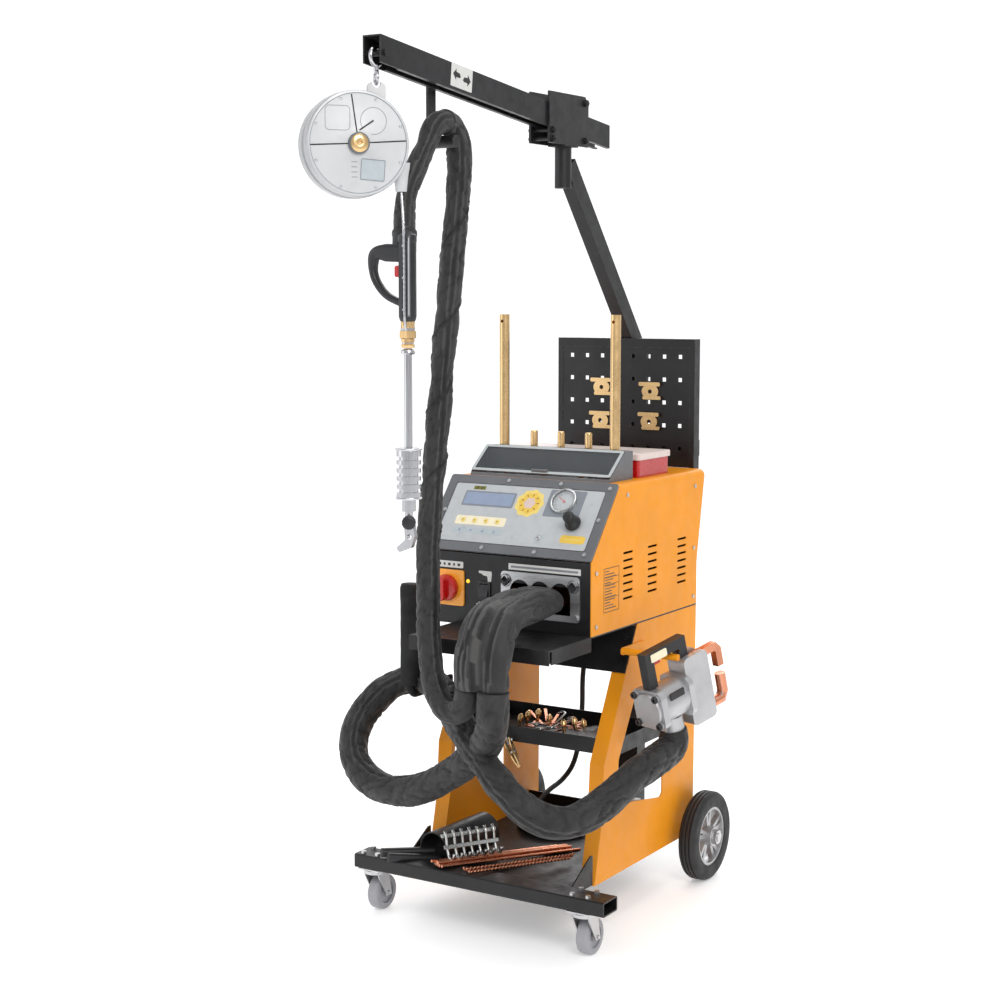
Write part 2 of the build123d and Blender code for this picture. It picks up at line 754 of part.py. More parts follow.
# ---------------------------------------------------------------- mast
mast_y = 572
mast_head = (0, 245, 1590)
with BuildPart() as mast:
    # upright behind the casing, and the bracket that ties it to the tray over the axle
    with BuildSketch(Plane.XY.offset(114)):
        with Locations((0, mast_y)):
            Rectangle(50, 40)
            Rectangle(44, 34, mode=Mode.SUBTRACT)
    extrude(amount=1180 - 114)
    with Locations((0, (base_rear + mast_y - 20) / 2 + 0.2, 114)):
        Box(60, mast_y - 20 - base_rear, 30, align=(Align.CENTER, Align.CENTER, Align.MIN))
    # tie to the cart top's rear edge, and the crossbar that the tool board's posts bolt to
    with Locations((0, (casing_depth + mast_y - 20) / 2 + 0.2, 600)):
        Box(60, mast_y - 20 - casing_depth, 20, align=(Align.CENTER, Align.CENTER, Align.MIN))
    with Locations((0, board_y + 26.7, 950)):
        Box(354, 3, 36, align=(Align.CENTER, Align.CENTER, Align.MIN))
    # the leaning tube: up and forwards to the pivot sleeve
    lean = Plane(origin=(0, mast_y, 1190), x_dir=(1, 0, 0),
                 z_dir=(0, mast_head[1] - mast_y, mast_head[2] - 1190))
    with BuildSketch(lean):
        Rectangle(30, 40)
    extrude(amount=hypot(mast_head[1] - mast_y, mast_head[2] - 1190))
    with Locations((0, mast_y, 1180)):
        Box(50, 40, 30)
    # sleeve with the bore that the boom's pin turns in
    with BuildSketch(Plane.XY.offset(1539)):
        with Locations((0, sleeve_y)):
            Circle(18)
    extrude(amount=86)
    with BuildSketch(Plane.XY.offset(1625)):
        with Locations((0, sleeve_y)):
            Circle(12 + running_gap)
    extrude(amount=-70, mode=Mode.SUBTRACT)
mast.part.label = "mast"
export_step(mast.part, "parts/mast.step")

# ---------------------------------------------------------------- boom
rail_front, rail_tail = -455, 405


def rail_strip(low, high, y_from, y_to):
    """Corners (y, z) of a strip that follows the rail between two heights about its middle."""
    return [
        (y_from, rail_z(y_from) + low),
        (y_to, rail_z(y_to) + low),
        (y_to, rail_z(y_to) + high),
        (y_from, rail_z(y_from) + high),
    ]


hanger_x, hanger_y, hanger_z = 8, -233, 1641  # where the gun hose crosses its saddle
with BuildPart() as boom_rail:
    with BuildSketch(Plane.YZ.offset(-rail_width / 2)):
        with BuildLine():
            Polyline(*rail_strip(-25, 25, rail_front, rail_tail), close=True)
        make_face()
    extrude(amount=rail_width)
    with BuildSketch(Plane.YZ.offset(-rail_width / 2 + 3)):
        with BuildLine():
            Polyline(*rail_strip(-40, 22, rail_front - 10, rail_tail + 10), close=True)
        make_face()
    extrude(amount=rail_width - 6, mode=Mode.SUBTRACT)
    # lips turned in along the open underside, which stiffen the rail
    for side in (-1, 1):
        with BuildSketch(Plane.YZ.offset(side * (rail_width / 2 - 9))):
            with BuildLine():
                Polyline(*rail_strip(-25, -22, rail_front + 60, rail_tail), close=True)
            make_face()
        extrude(amount=side * 8)
    # pin across the front end that carries the balancer's hook
    with BuildSketch(Plane.YZ.offset(-rail_width / 2 - 4)):
        with Locations((-442, 1747)):
            Circle(6)
    extrude(amount=rail_width + 8)
    # hose hanger: a strap down the rail's left side and a roll that the hose is laid over
    with BuildSketch(Plane.YZ.offset(-rail_width / 2 - 5)):
        with BuildLine():
            Polyline((hanger_y - 13, 1594), (hanger_y + 13, 1594), (hanger_y + 13, 1748),
                     (hanger_y - 13, 1751), close=True)
        make_face()
    extrude(amount=5)
    with Locations(Plane((-rail_width / 2 - 5, hanger_y, hanger_z - 37.5), z_dir=(1, 0, 0))):
        Cylinder(12, 60, align=(Align.CENTER, Align.CENTER, Align.MIN))
boom_rail.part.label = "boom_rail"
export_step(boom_rail.part, "parts/boom_rail.step")

clamp_bolts = [(286, 1720), (150, 1655), (150, 1637), (286, 1641)]
with BuildPart() as boom_bracket:
    for side in (-1, 1):
        with BuildSketch(Plane.YZ.offset(side * (rail_width / 2 + 0.2))):
            with BuildLine():
                Polyline((135, 1628), (300, 1628), (300, 1718), (286, 1734), (135, 1734),
                         close=True)
            make_face()
        extrude(amount=side * 5)
    for bolt_y, bolt_z in clamp_bolts:
        with Locations(Plane((0, bolt_y, bolt_z), z_dir=(1, 0, 0))):
            Cylinder(4, 2 * (rail_width / 2 + 13))
        with BuildSketch(Plane.YZ.offset(-rail_width / 2 - 11)):
            with Locations((bolt_y, bolt_z)):
                RegularPolygon(8, 6)
        extrude(amount=6)
        with BuildSketch(Plane.YZ.offset(rail_width / 2 + 5)):
            with Locations((bolt_y, bolt_z)):
                RegularPolygon(8, 6)
        extrude(amount=6)
    # block between the plates and the pivot pin that turns in the mast's sleeve
    with Locations((0, sleeve_y, 1625.4)):
        Box(rail_width + 2, 56, 22, align=(Align.CENTER, Align.CENTER, Align.MIN))
    with Locations((0, sleeve_y, 1558)):
        Cylinder(12, 70, align=(Align.CENTER, Align.CENTER, Align.MIN))
boom_bracket.part.label = "boom_bracket"
export_step(boom_bracket.part, "parts/boom_bracket.step")

# ---------------------------------------------------------------- balancer
face_turn = radians(50)  # the drum's face looks this far round from the front to the right
face_out = (sin(face_turn), -cos(face_turn), 0)
face_across = (cos(face_turn), sin(face_turn), 0)
balancer_x, balancer_y, balancer_z = -30, -472, 1583
rope_out_x, rope_out_y = gun_x - 9, gun_y - 6  # where the rope leaves the drum
case_radius, case_half = 95, 38
balancer_plane = Plane(origin=(balancer_x, balancer_y, balancer_z), x_dir=face_across,
                       z_dir=face_out)
with BuildPart() as balancer_case:
    with BuildSketch(balancer_plane.offset(-case_half)):
        Circle(case_radius)
    extrude(amount=2 * case_half)
    case_edges = balancer_case.edges().filter_by(GeomType.CIRCLE)
    fillet(case_edges, radius=5)
    with BuildSketch(balancer_plane.offset(-case_half + 4)):
        Circle(case_radius - 5)
    extrude(amount=2 * case_half - 8, mode=Mode.SUBTRACT)
    # drum and spring barrel on the middle shaft, and the boss on the face
    with BuildSketch(balancer_plane.offset(-case_half + 3)):
        Circle(12)
    extrude(amount=2 * case_half + 4)
    # lug over the case, off its middle so that the rope hangs below the hook
    with BuildSketch(balancer_plane.offset(-4)):
        with Locations((43, 95)):
            RectangleRounded(34, 36, 10)
        with Locations((43, 111)):
            Circle(8, mode=Mode.SUBTRACT)
    extrude(amount=8)
    # cone that the rope leaves by
    with Locations((rope_out_x, rope_out_y, 1505)):
        Cone(9, 15, 44, align=(Align.CENTER, Align.CENTER, Align.MIN))
    with Locations((rope_out_x, rope_out_y, 1500)):
        Cylinder(3.6, 30, align=(Align.CENTER, Align.CENTER, Align.MIN), mode=Mode.SUBTRACT)
balancer_case.part.label = "balancer_case"
export_step(balancer_case.part, "parts/balancer_case.step")

with BuildPart() as balancer_hook:
    with Locations(Plane((0, -442, 1741), z_dir=(1, 0, 0))):
        Torus(16.2, 4)
    with Locations((0, -442, 1715)):
        Cylinder(5, 12, align=(Align.CENTER, Align.CENTER, Align.MIN))
    with Locations(Plane((0, -442, 1703.4), z_dir=face_across)):
        Torus(11.4, 3)
balancer_hook.part.label = "balancer_hook"
export_step(balancer_hook.part, "parts/balancer_hook.step")

gun_top = 1417
with BuildPart() as balancer_rope:
    # slants a little from the gun's top to the cone, with level ends
    rope_low = Vector(gun_x, gun_y, gun_top + 12.2)
    rope_high = Vector(rope_out_x, rope_out_y, 1512)
    with BuildSketch(Plane.XY.offset(rope_low.Z)):
        with Locations((gun_x, gun_y)):
            Circle(2)
    extrude(amount=(rope_high - rope_low).length, dir=(rope_high - rope_low).normalized())
balancer_rope.part.label = "balancer_rope"
export_step(balancer_rope.part, "parts/balancer_rope.step")

# ---------------------------------------------------------------- studder gun
gun_foot = 1264
handle_plane = Plane(origin=(gun_x, gun_y, 0), x_dir=(1, 0, 0), z_dir=(0, -1, 0))
gland_low = (22, -388, 1392)
gland_high = (10, -370, 1428)
with BuildPart() as gun_body:
    with Locations((gun_x, gun_y, gun_foot)):
        Cylinder(14.5, gun_top - gun_foot, align=(Align.CENTER, Align.CENTER, Align.MIN))
    with Locations((gun_x, gun_y, gun_top)):
        Cylinder(7, 12, align=(Align.CENTER, Align.CENTER, Align.MIN))
    fillet(gun_body.edges().filter_by(GeomType.CIRCLE).group_by(Axis.Z)[0], radius=2)
    with BuildSketch(handle_plane.offset(-10)):
        with Locations((-41, 1349)):
            RectangleRounded(82, 114, 16)
            with Locations((1, 0)):
                RectangleRounded(50, 78, 6, mode=Mode.SUBTRACT)
    extrude(amount=20)
    # pocket for the trigger in the body, facing the finger gap
    with Locations((gun_x - 8, gun_y, 1356)):
        Box(17, 10.6, 22, mode=Mode.SUBTRACT)
    # gland at the back that the hose is clamped into
    with Locations(Plane(gland_low, z_dir=Vector(*gland_high) - Vector(*gland_low))):
        Cylinder(22, (Vector(*gland_high) - Vector(*gland_low)).length,
                 align=(Align.CENTER, Align.CENTER, Align.MIN))
gun_body.part.label = "gun_body"
export_step(gun_body.part, "parts/gun_body.step")

with BuildPart() as gun_trigger:
    with Locations((gun_x - 16.1, gun_y, 1356)):
        Box(19, 10, 21)
    fillet(gun_trigger.edges().filter_by(Axis.Y).group_by(Axis.X)[0], radius=4)
gun_trigger.part.label = "gun_trigger"
export_step(gun_trigger.part, "parts/gun_trigger.step")

weight_low, weight_high = 936, 1028
shaft_radius = 7.5
with BuildPart() as gun_shaft:
    # hexagonal chuck and its nut, then the polished shaft
    with BuildSketch(Plane.XY.offset(gun_foot - 0.1)):
        with Locations((gun_x, gun_y)):
            Circle(10)
    extrude(amount=-12)
    with BuildSketch(Plane.XY.offset(gun_foot - 12)):
        with Locations((gun_x, gun_y)):
            RegularPolygon(15, 6)
    extrude(amount=-18)
    with BuildSketch(Plane.XY.offset(gun_foot - 30)):
        with Locations((gun_x, gun_y)):
            Circle(11)
    extrude(amount=-18)
    with Locations((gun_x, gun_y, 890)):
        Cylinder(shaft_radius, gun_foot - 40 - 890, align=(Align.CENTER, Align.CENTER, Align.MIN))
    # stop that the weight rests on
    with Locations((gun_x, gun_y, 912)):
        Cylinder(13, weight_low - 912.3, align=(Align.CENTER, Align.CENTER, Align.MIN))
    # claw: a plate with a hole for the pulling pins and a turned-back hook
    with BuildSketch(handle_plane.offset(-5)):
        with BuildLine():
            Polyline((-9, 900), (9, 900), (16, 866), (8, 844), (-20, 834), (-26, 842),
                     (-6, 858), close=True)
        make_face()
        with Locations((4, 864)):
            Circle(5, mode=Mode.SUBTRACT)
    extrude(amount=10)
gun_shaft.part.label = "gun_shaft"
export_step(gun_shaft.part, "parts/gun_shaft.step")

with BuildPart() as hammer_weight:
    with Locations((gun_x, gun_y, weight_low)):
        Cylinder(23, weight_high - weight_low, align=(Align.CENTER, Align.CENTER, Align.MIN))
    fillet(hammer_weight.edges().filter_by(GeomType.CIRCLE), radius=3)
    # grip grooves round the weight
    for groove in range(5):
        with BuildSketch(Plane.XY.offset(weight_low + 12 + 15 * groove)):
            with Locations((gun_x, gun_y)):
                Circle(24)
                Circle(18, mode=Mode.SUBTRACT)
        extrude(amount=7, mode=Mode.SUBTRACT)
    with Locations((gun_x, gun_y, weight_low)):
        Cylinder(shaft_radius + running_gap, 2 * (weight_high - weight_low), mode=Mode.SUBTRACT)
hammer_weight.part.label = "hammer_weight"
export_step(hammer_weight.part, "parts/hammer_weight.step")

# ---------------------------------------------------------------- clamp gun
clamp_origin = Vector(300, 75, 471)  # middle of the cylinder's end face
clamp_along = Vector(0.30, 0.92, 0.25).normalized()
clamp_side = Vector(0.92, -0.30, 0).normalized()
clamp_up = clamp_along.cross(clamp_side)
if clamp_up.Z < 0:
    clamp_up = -clamp_up
# across the cylinder, and along the plane that the arms move in
cylinder_plane = Plane(origin=clamp_origin, x_dir=clamp_side, z_dir=clamp_along)
arm_plane = Plane(origin=clamp_origin, x_dir=clamp_along, z_dir=clamp_side)
up_sign = 1 if arm_plane.y_dir.Z > 0 else -1


def clamp_point(along, up, across=0):
    """A point in space from its place in the clamp gun."""
    return clamp_origin + clamp_along * along + clamp_up * up + clamp_side * across


jaw_pin = (142, 34)
with BuildPart() as clamp_body:
    with BuildSketch(cylinder_plane):
        RectangleRounded(84, 84, 16)
    extrude(amount=16)
    with BuildSketch(cylinder_plane.offset(16)):
        Circle(41)
    extrude(amount=66)
    with BuildSketch(cylinder_plane.offset(82)):
        RectangleRounded(84, 84, 16)
    extrude(amount=14)
    # four bolts through the end cap
    with BuildSketch(cylinder_plane):
        with GridLocations(60, 60, 2, 2):
            Circle(7)
    extrude(amount=-5)
    # casting with two cheeks round the moving arm
    with BuildSketch(arm_plane.offset(-24)):
        with Locations((130, 0)):
            RectangleRounded(70, 150, 12)
    extrude(amount=48)
    with BuildSketch(arm_plane.offset(-10.4)):
        with Locations((145, up_sign * 50)):
            Rectangle(66, 84)
    extrude(amount=20.8, mode=Mode.SUBTRACT)
    # lower arm, fixed in the casting
    with BuildSketch(arm_plane.offset(-8)):
        with BuildLine():
            Polyline((150, up_sign * -58), (205, up_sign * -58), (214, up_sign * -44),
                     (214, up_sign * -4))
        trace(line_width=17)
    extrude(amount=16)
    # union under the cylinder that the hose is fixed to
    with Locations(Plane(clamp_point(56, -36), z_dir=-clamp_up)):
        Cylinder(24, 29.7, align=(Align.CENTER, Align.CENTER, Align.MIN))
clamp_body.part.label = "clamp_body"
export_step(clamp_body.part, "parts/clamp_body.step")

# bow handle over the cylinder, with a grip that the peg on the frame runs under
with BuildPart() as clamp_handle:
    with BuildSketch(arm_plane.offset(-11)):
        with BuildLine():
            Polyline((16, up_sign * 43), (16, up_sign * 108), (112, up_sign * 108),
                     (112, up_sign * 76))
        trace(line_width=22)
    extrude(amount=22)
    with BuildSketch(arm_plane.offset(-5.6)):
        with Locations((40, up_sign * 98)):
            Rectangle(19, 14)
    extrude(amount=11.2, mode=Mode.SUBTRACT)
clamp_handle.part.label = "clamp_handle"
export_step(clamp_handle.part, "parts/clamp_handle.step")

with BuildPart() as clamp_trigger:
    with BuildSketch(arm_plane.offset(-5)):
        with Locations((40, up_sign * 93)):
            Rectangle(18, 12)
    extrude(amount=10)
clamp_trigger.part.label = "clamp_trigger"
export_step(clamp_trigger.part, "parts/clamp_trigger.step")

with BuildPart() as clamp_arm:
    with BuildSketch(arm_plane.offset(-8)):
        with BuildLine():
            Polyline((128, up_sign * 34), (150, up_sign * 60), (206, up_sign * 60),
                     (214, up_sign * 50), (214, up_sign * 14))
        trace(line_width=17)
    extrude(amount=16)
clamp_arm.part.label = "clamp_arm"
export_step(clamp_arm.part, "parts/clamp_arm.step")

# ---------------------------------------------------------------- hoses and leads
def corner_radii(points):
    """The radius at each corner of a route: 0.45 of its shorter run, over tan(half the turn)."""
    radii = []
    for before, corner, after in zip(points, points[1:], points[2:]):
        run_in = Vector(*corner) - Vector(*before)
        run_out = Vector(*after) - Vector(*corner)
        half_turn = radians(run_in.get_angle(run_out)) / 2
        radii.append(0.45 * min(run_in.length, run_out.length) / tan(half_turn))
    return radii


def hose(points, diameter, name):
    """A tube along a route, in its own file; prints its radii, length and volume."""
    radii = corner_radii(points)
    with BuildPart() as tube:
        with BuildLine() as route:
            FilletPolyline(*points, radius=radii)
        with BuildSketch(Plane(origin=route.line @ 0, z_dir=route.line % 0)):
            Circle(diameter / 2)
        sweep(path=route.line)
    length = route.wire().length
    print(name, "length", round(length), "radii over diameter",
          [round(radius / diameter, 1) for radius in radii],
          "volume over section times length",
          round(tube.part.volume / (pi * diameter**2 / 4 * length), 4))
    tube.part.label = name
    export_step(tube.part, f"parts/{name}.step")


# wide zipped sleeve that both hoses leave the outlet in, over the shelf's lip
sheath_route = [(86, -3.4, 690), (86, -90, 690), (94, -238, 672), (94, -238, 546)]
with BuildPart() as hose_sheath:
    with BuildLine() as sheath_line:
        FilletPolyline(*sheath_route, radius=corner_radii(sheath_route))
    with BuildSketch(Plane(origin=sheath_line.line @ 0, x_dir=(1, 0, 0),
                           z_dir=sheath_line.line % 0)):
        RectangleRounded(124, 62, 28)
    sweep(path=sheath_line.line)
hose_sheath.part.label = "hose_sheath"
export_step(hose_sheath.part, "parts/hose_sheath.step")

gun_hose_lower_route = [
    (61, -238, 545.6), (61, -238, 516), (32, -234, 490), (-8, -224, 498), (-40, -212, 545),
    (-57, -200, 640), (-57, -200, 740),
]
gun_hose_riser_route = [
    (-57, -200, 740.3), (-57, -200, 810), (-46, -201, 930), (-32, -198, 1060),
    (-18, -201, 1190), (-3, -199, 1320), (8, -197, 1430), (14, -190, 1530), (12, -186, 1598),
    (8, -196, 1626), (8, -214, hanger_z), (hanger_x, hanger_y, hanger_z),
]
gun_hose_upper_route = [
    (hanger_x, hanger_y - 0.3, hanger_z), (8, -252, hanger_z), (6, -270, 1627), (2, -286, 1592),
    (-6, -310, 1548), (-10, -334, 1503), (-2, -352, 1464), gland_high,
]
clamp_gland = clamp_point(56, -66)
clamp_hose_route = [
    (121, -238, 545.6), (121, -238, 500), (100, -210, 455), (50, -165, 405), (-30, -140, 345),
    (-125, -130, 285), (-240, -118, 268), (-328, -95, 308), (-352, -52, 385), (-318, 5, 455),
    (-250, 44, 487), (-180, 15, 480), (-75, -80, 452), (40, -180, 408), (140, -222, 345),
    (215, -222, 300), (262, -175, 288), (288, -95, 312), (305, -10, 350),
    (318, 70, 368), clamp_point(56, -104), clamp_gland,
]
hose(gun_hose_lower_route, gun_hose_diameter, "gun_hose_lower")
hose(gun_hose_riser_route, gun_hose_diameter, "gun_hose_riser")
hose(gun_hose_upper_route, gun_hose_diameter - 6, "gun_hose_upper")
hose(clamp_hose_route, clamp_hose_diameter, "clamp_hose")

coil_x, coil_y, coil_outer, coil_inner, coil_height = -60, 310, 78, 40, 26
mains_route = [
    (-60, 504.2, 650), (-60, 520, 650), (-70, 534, 630), (-84, 536, 585), (-92, 528, 530),
    (-98, 518, 470), (-102, 512, 410), (-100, 510, 350), (-104, 508, 290), (-110, 504, 235),
    (-118, 492, 196), (-130, 460, 168), (-138, 420, 158), (-141, 375, 138),
    (-140, 340, 122), (-138.3, coil_y, tool_floor + 13),
]
hose(mains_route, mains_diameter, "mains_lead")

with BuildPart() as mains_coil:
    with BuildSketch(Plane.XY.offset(tool_floor + 0.2)):
        with Locations((coil_x, coil_y)):
            Circle(coil_outer)
            Circle(coil_inner, mode=Mode.SUBTRACT)
    extrude(amount=coil_height)
    fillet(mains_coil.edges().filter_by(GeomType.CIRCLE), radius=6)
mains_coil.part.label = "mains_coil"
export_step(mains_coil.part, "parts/mains_coil.step")

plug_x = coil_x + coil_outer + 10
with BuildPart() as mains_plug:
    with Locations(Plane((plug_x, coil_y + 42.5, tool_floor + 22.3), z_dir=(0, 1, 0))):
        Cylinder(22, 48, align=(Align.CENTER, Align.CENTER, Align.MIN))
        with Locations((0, 0, 48)):
            Cylinder(17, 12, align=(Align.CENTER, Align.CENTER, Align.MIN))
            with PolarLocations(9, 4):
                Cylinder(3, 26, align=(Align.CENTER, Align.CENTER, Align.MIN))
mains_plug.part.label = "mains_plug"
export_step(mains_plug.part, "parts/mains_plug.step")
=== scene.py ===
import json
import math

import bpy
from mathutils import Matrix, Vector, noise


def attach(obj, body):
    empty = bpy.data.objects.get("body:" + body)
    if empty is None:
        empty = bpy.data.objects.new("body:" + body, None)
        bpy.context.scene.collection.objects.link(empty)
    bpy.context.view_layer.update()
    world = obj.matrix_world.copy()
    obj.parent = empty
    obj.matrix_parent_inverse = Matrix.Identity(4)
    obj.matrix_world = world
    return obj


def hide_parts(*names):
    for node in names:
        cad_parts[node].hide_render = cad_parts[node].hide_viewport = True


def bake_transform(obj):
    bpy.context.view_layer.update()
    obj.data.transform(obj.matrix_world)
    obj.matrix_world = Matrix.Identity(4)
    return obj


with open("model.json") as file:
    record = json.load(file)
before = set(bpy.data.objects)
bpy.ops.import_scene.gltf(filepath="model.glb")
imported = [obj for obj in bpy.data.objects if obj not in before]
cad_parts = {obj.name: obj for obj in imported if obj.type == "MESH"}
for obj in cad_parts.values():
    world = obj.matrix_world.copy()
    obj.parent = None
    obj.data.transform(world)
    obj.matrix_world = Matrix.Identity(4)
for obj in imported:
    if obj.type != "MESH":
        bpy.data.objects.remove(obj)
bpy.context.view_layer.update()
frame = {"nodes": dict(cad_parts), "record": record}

# ------------------------------------------------------------------ camera and light
MM = 0.001
CAMERA_TURN = math.radians(32)
scene = bpy.context.scene
camera_data = bpy.data.cameras.new("camera")
camera_data.sensor_width = 36
camera_data.lens = 36 * 1.7988
camera = bpy.data.objects.new("camera", camera_data)
camera.location = (1.9499, -3.1396, 1.3126)
camera.rotation_euler = (math.radians(83.5), 0, CAMERA_TURN)
scene.collection.objects.link(camera)
scene.camera = camera

world = bpy.data.worlds.new("studio")
world.use_nodes = True
world.node_tree.nodes["Background"].inputs[0].default_value = (0.97, 0.98, 1.0, 1)
world.node_tree.nodes["Background"].inputs[1].default_value = 0.6
scene.world = world
scene.view_settings.view_transform = "Standard"


def area_light(name, place, target, size, power, colour=(1, 1, 1)):
    data = bpy.data.lights.new(name, "AREA")
    data.size, data.energy, data.color = size, power, colour
    obj = bpy.data.objects.new(name, data)
    obj.location = place
    aim = Vector(target) - Vector(place)
    obj.rotation_euler = aim.to_track_quat("-Z", "Y").to_euler()
    scene.collection.objects.link(obj)


area_light("key", (3.2, -2.6, 3.6), (0, 0, 0.7), 2.2, 105, (1, 0.98, 0.95))
area_light("fill", (-3.4, -2.8, 2.0), (0, 0, 0.8), 3.0, 34, (0.95, 0.97, 1))
area_light("back", (-1.0, 3.4, 3.2), (0, 0, 0.9), 2.6, 55)
area_light("top", (0.2, -0.2, 4.2), (0, 0, 0.6), 2.4, 34)


# ------------------------------------------------------------------ materials
def ramp_mix(tree, factor, colour_a, colour_b):
    mix = tree.nodes.new("ShaderNodeMix")
    mix.data_type = "RGBA"
    tree.links.new(factor, mix.inputs[0])
    for socket, colour in ((mix.inputs[6], colour_a), (mix.inputs[7], colour_b)):
        if isinstance(colour, bpy.types.NodeSocket):
            tree.links.new(colour, socket)
        else:
            socket.default_value = (*colour[:3], 1)
    return mix.outputs[2]


def noise_node(tree, vector, scale, detail=4, rough=0.55):
    node = tree.nodes.new("ShaderNodeTexNoise")
    node.inputs["Scale"].default_value = scale
    node.inputs["Detail"].default_value = detail
    node.inputs["Roughness"].default_value = rough
    tree.links.new(vector, node.inputs["Vector"])
    return node.outputs[0]


def ranged(tree, value, low, high, to_low, to_high):
    node = tree.nodes.new("ShaderNodeMapRange")
    node.inputs[1].default_value, node.inputs[2].default_value = low, high
    node.inputs[3].default_value, node.inputs[4].default_value = to_low, to_high
    tree.links.new(value, node.inputs[0])
    return node.outputs[0]


def maths(tree, kind, a, b=None):
    node = tree.nodes.new("ShaderNodeMath")
    node.operation = kind
    for socket, value in ((node.inputs[0], a), (node.inputs[1], b)):
        if isinstance(value, bpy.types.NodeSocket):
            tree.links.new(value, socket)
        elif value is not None:
            socket.default_value = value
    return node.outputs[0]


def bumped(tree, height, strength, distance, normal=None):
    node = tree.nodes.new("ShaderNodeBump")
    node.inputs["Strength"].default_value = strength
    node.inputs["Distance"].default_value = distance
    tree.links.new(height, node.inputs["Height"])
    if normal is not None:
        tree.links.new(normal, node.inputs["Normal"])
    return node.outputs[0]


def new_material(name):
    material = bpy.data.materials.new(name)
    material.use_nodes = True
    tree = material.node_tree
    shader = tree.nodes["Principled BSDF"]
    coords = tree.nodes.new("ShaderNodeTexCoord").outputs["Object"]
    return material, tree, shader, coords


def finish_material(
    name, colour, rough, metal=0.0, vary=0.12, grain=700, grain_depth=0.00005,
    stain=None, wear=None, coat=0.0, rough_spread=0.12, dust=0.0,
):
    """A surface with blotches, fine grain, smudged gloss, worn edges and a little dust."""
    material, tree, shader, coords = new_material(name)
    blotch = noise_node(tree, coords, 9, 5)
    dark = [c * (1 - vary) for c in colour]
    light = [min(1, c * (1 + vary * 0.7)) for c in colour]
    base = ramp_mix(tree, ranged(tree, blotch, 0.35, 0.65, 0, 1), dark, light)
    if stain:
        spots = noise_node(tree, coords, 26, 8, 0.7)
        base = ramp_mix(tree, ranged(tree, spots, 0.62, 0.76, 0, 0.8), base, stain)
    rough_out = ranged(
        tree, noise_node(tree, coords, 34, 6), 0.3, 0.7,
        max(0.03, rough - rough_spread), min(1, rough + rough_spread),
    )
    if wear:
        bevel = tree.nodes.new("ShaderNodeBevel")
        bevel.samples = 3
        bevel.inputs[0].default_value = 0.0016
        plain = tree.nodes.new("ShaderNodeNewGeometry")
        dot = tree.nodes.new("ShaderNodeVectorMath")
        dot.operation = "DOT_PRODUCT"
        tree.links.new(bevel.outputs[0], dot.inputs[0])
        tree.links.new(plain.outputs["True Normal"], dot.inputs[1])
        edge = ranged(tree, dot.outputs["Value"], 0.97, 0.75, 0, 1)
        chips = ranged(tree, noise_node(tree, coords, 120, 6, 0.7), 0.46, 0.6, 0, 0.75)
        base = ramp_mix(tree, maths(tree, "MULTIPLY", edge, chips), base, wear)
    if dust:
        plain = tree.nodes.new("ShaderNodeNewGeometry")
        split = tree.nodes.new("ShaderNodeSeparateXYZ")
        tree.links.new(plain.outputs["Normal"], split.inputs[0])
        up = ranged(tree, split.outputs[2], 0.3, 1.0, 0, dust)
        cloud = ranged(tree, noise_node(tree, coords, 14, 6), 0.35, 0.7, 0.2, 1)
        base = ramp_mix(tree, maths(tree, "MULTIPLY", up, cloud), base, (0.45, 0.43, 0.4))
    tree.links.new(base, shader.inputs["Base Color"])
    tree.links.new(rough_out, shader.inputs["Roughness"])
    shader.inputs["Metallic"].default_value = metal
    shader.inputs["Coat Weight"].default_value = coat
    fine = noise_node(tree, coords, grain, 3)
    tree.links.new(bumped(tree, fine, 0.5, grain_depth), shader.inputs["Normal"])
    return material


def brushed_material(name, colour, rough, axis=2, metal=1.0):
    """Metal with fine scratches drawn along one axis."""
    material, tree, shader, coords = new_material(name)
    mapping = tree.nodes.new("ShaderNodeMapping")
    stretch = [420, 420, 420]
    stretch[axis] = 14
    mapping.inputs["Scale"].default_value = stretch
    tree.links.new(coords, mapping.inputs["Vector"])
    lines = noise_node(tree, mapping.outputs[0], 1.0, 4)
    cloud = noise_node(tree, coords, 20, 5)
    base = ramp_mix(tree, cloud, [c * 0.84 for c in colour], colour)
    tree.links.new(base, shader.inputs["Base Color"])
    tree.links.new(
        ranged(tree, lines, 0.3, 0.7, max(0.03, rough - 0.1), rough + 0.12),
        shader.inputs["Roughness"],
    )
    shader.inputs["Metallic"].default_value = metal
    tree.links.new(bumped(tree, lines, 0.35, 0.00004), shader.inputs["Normal"])
    return material


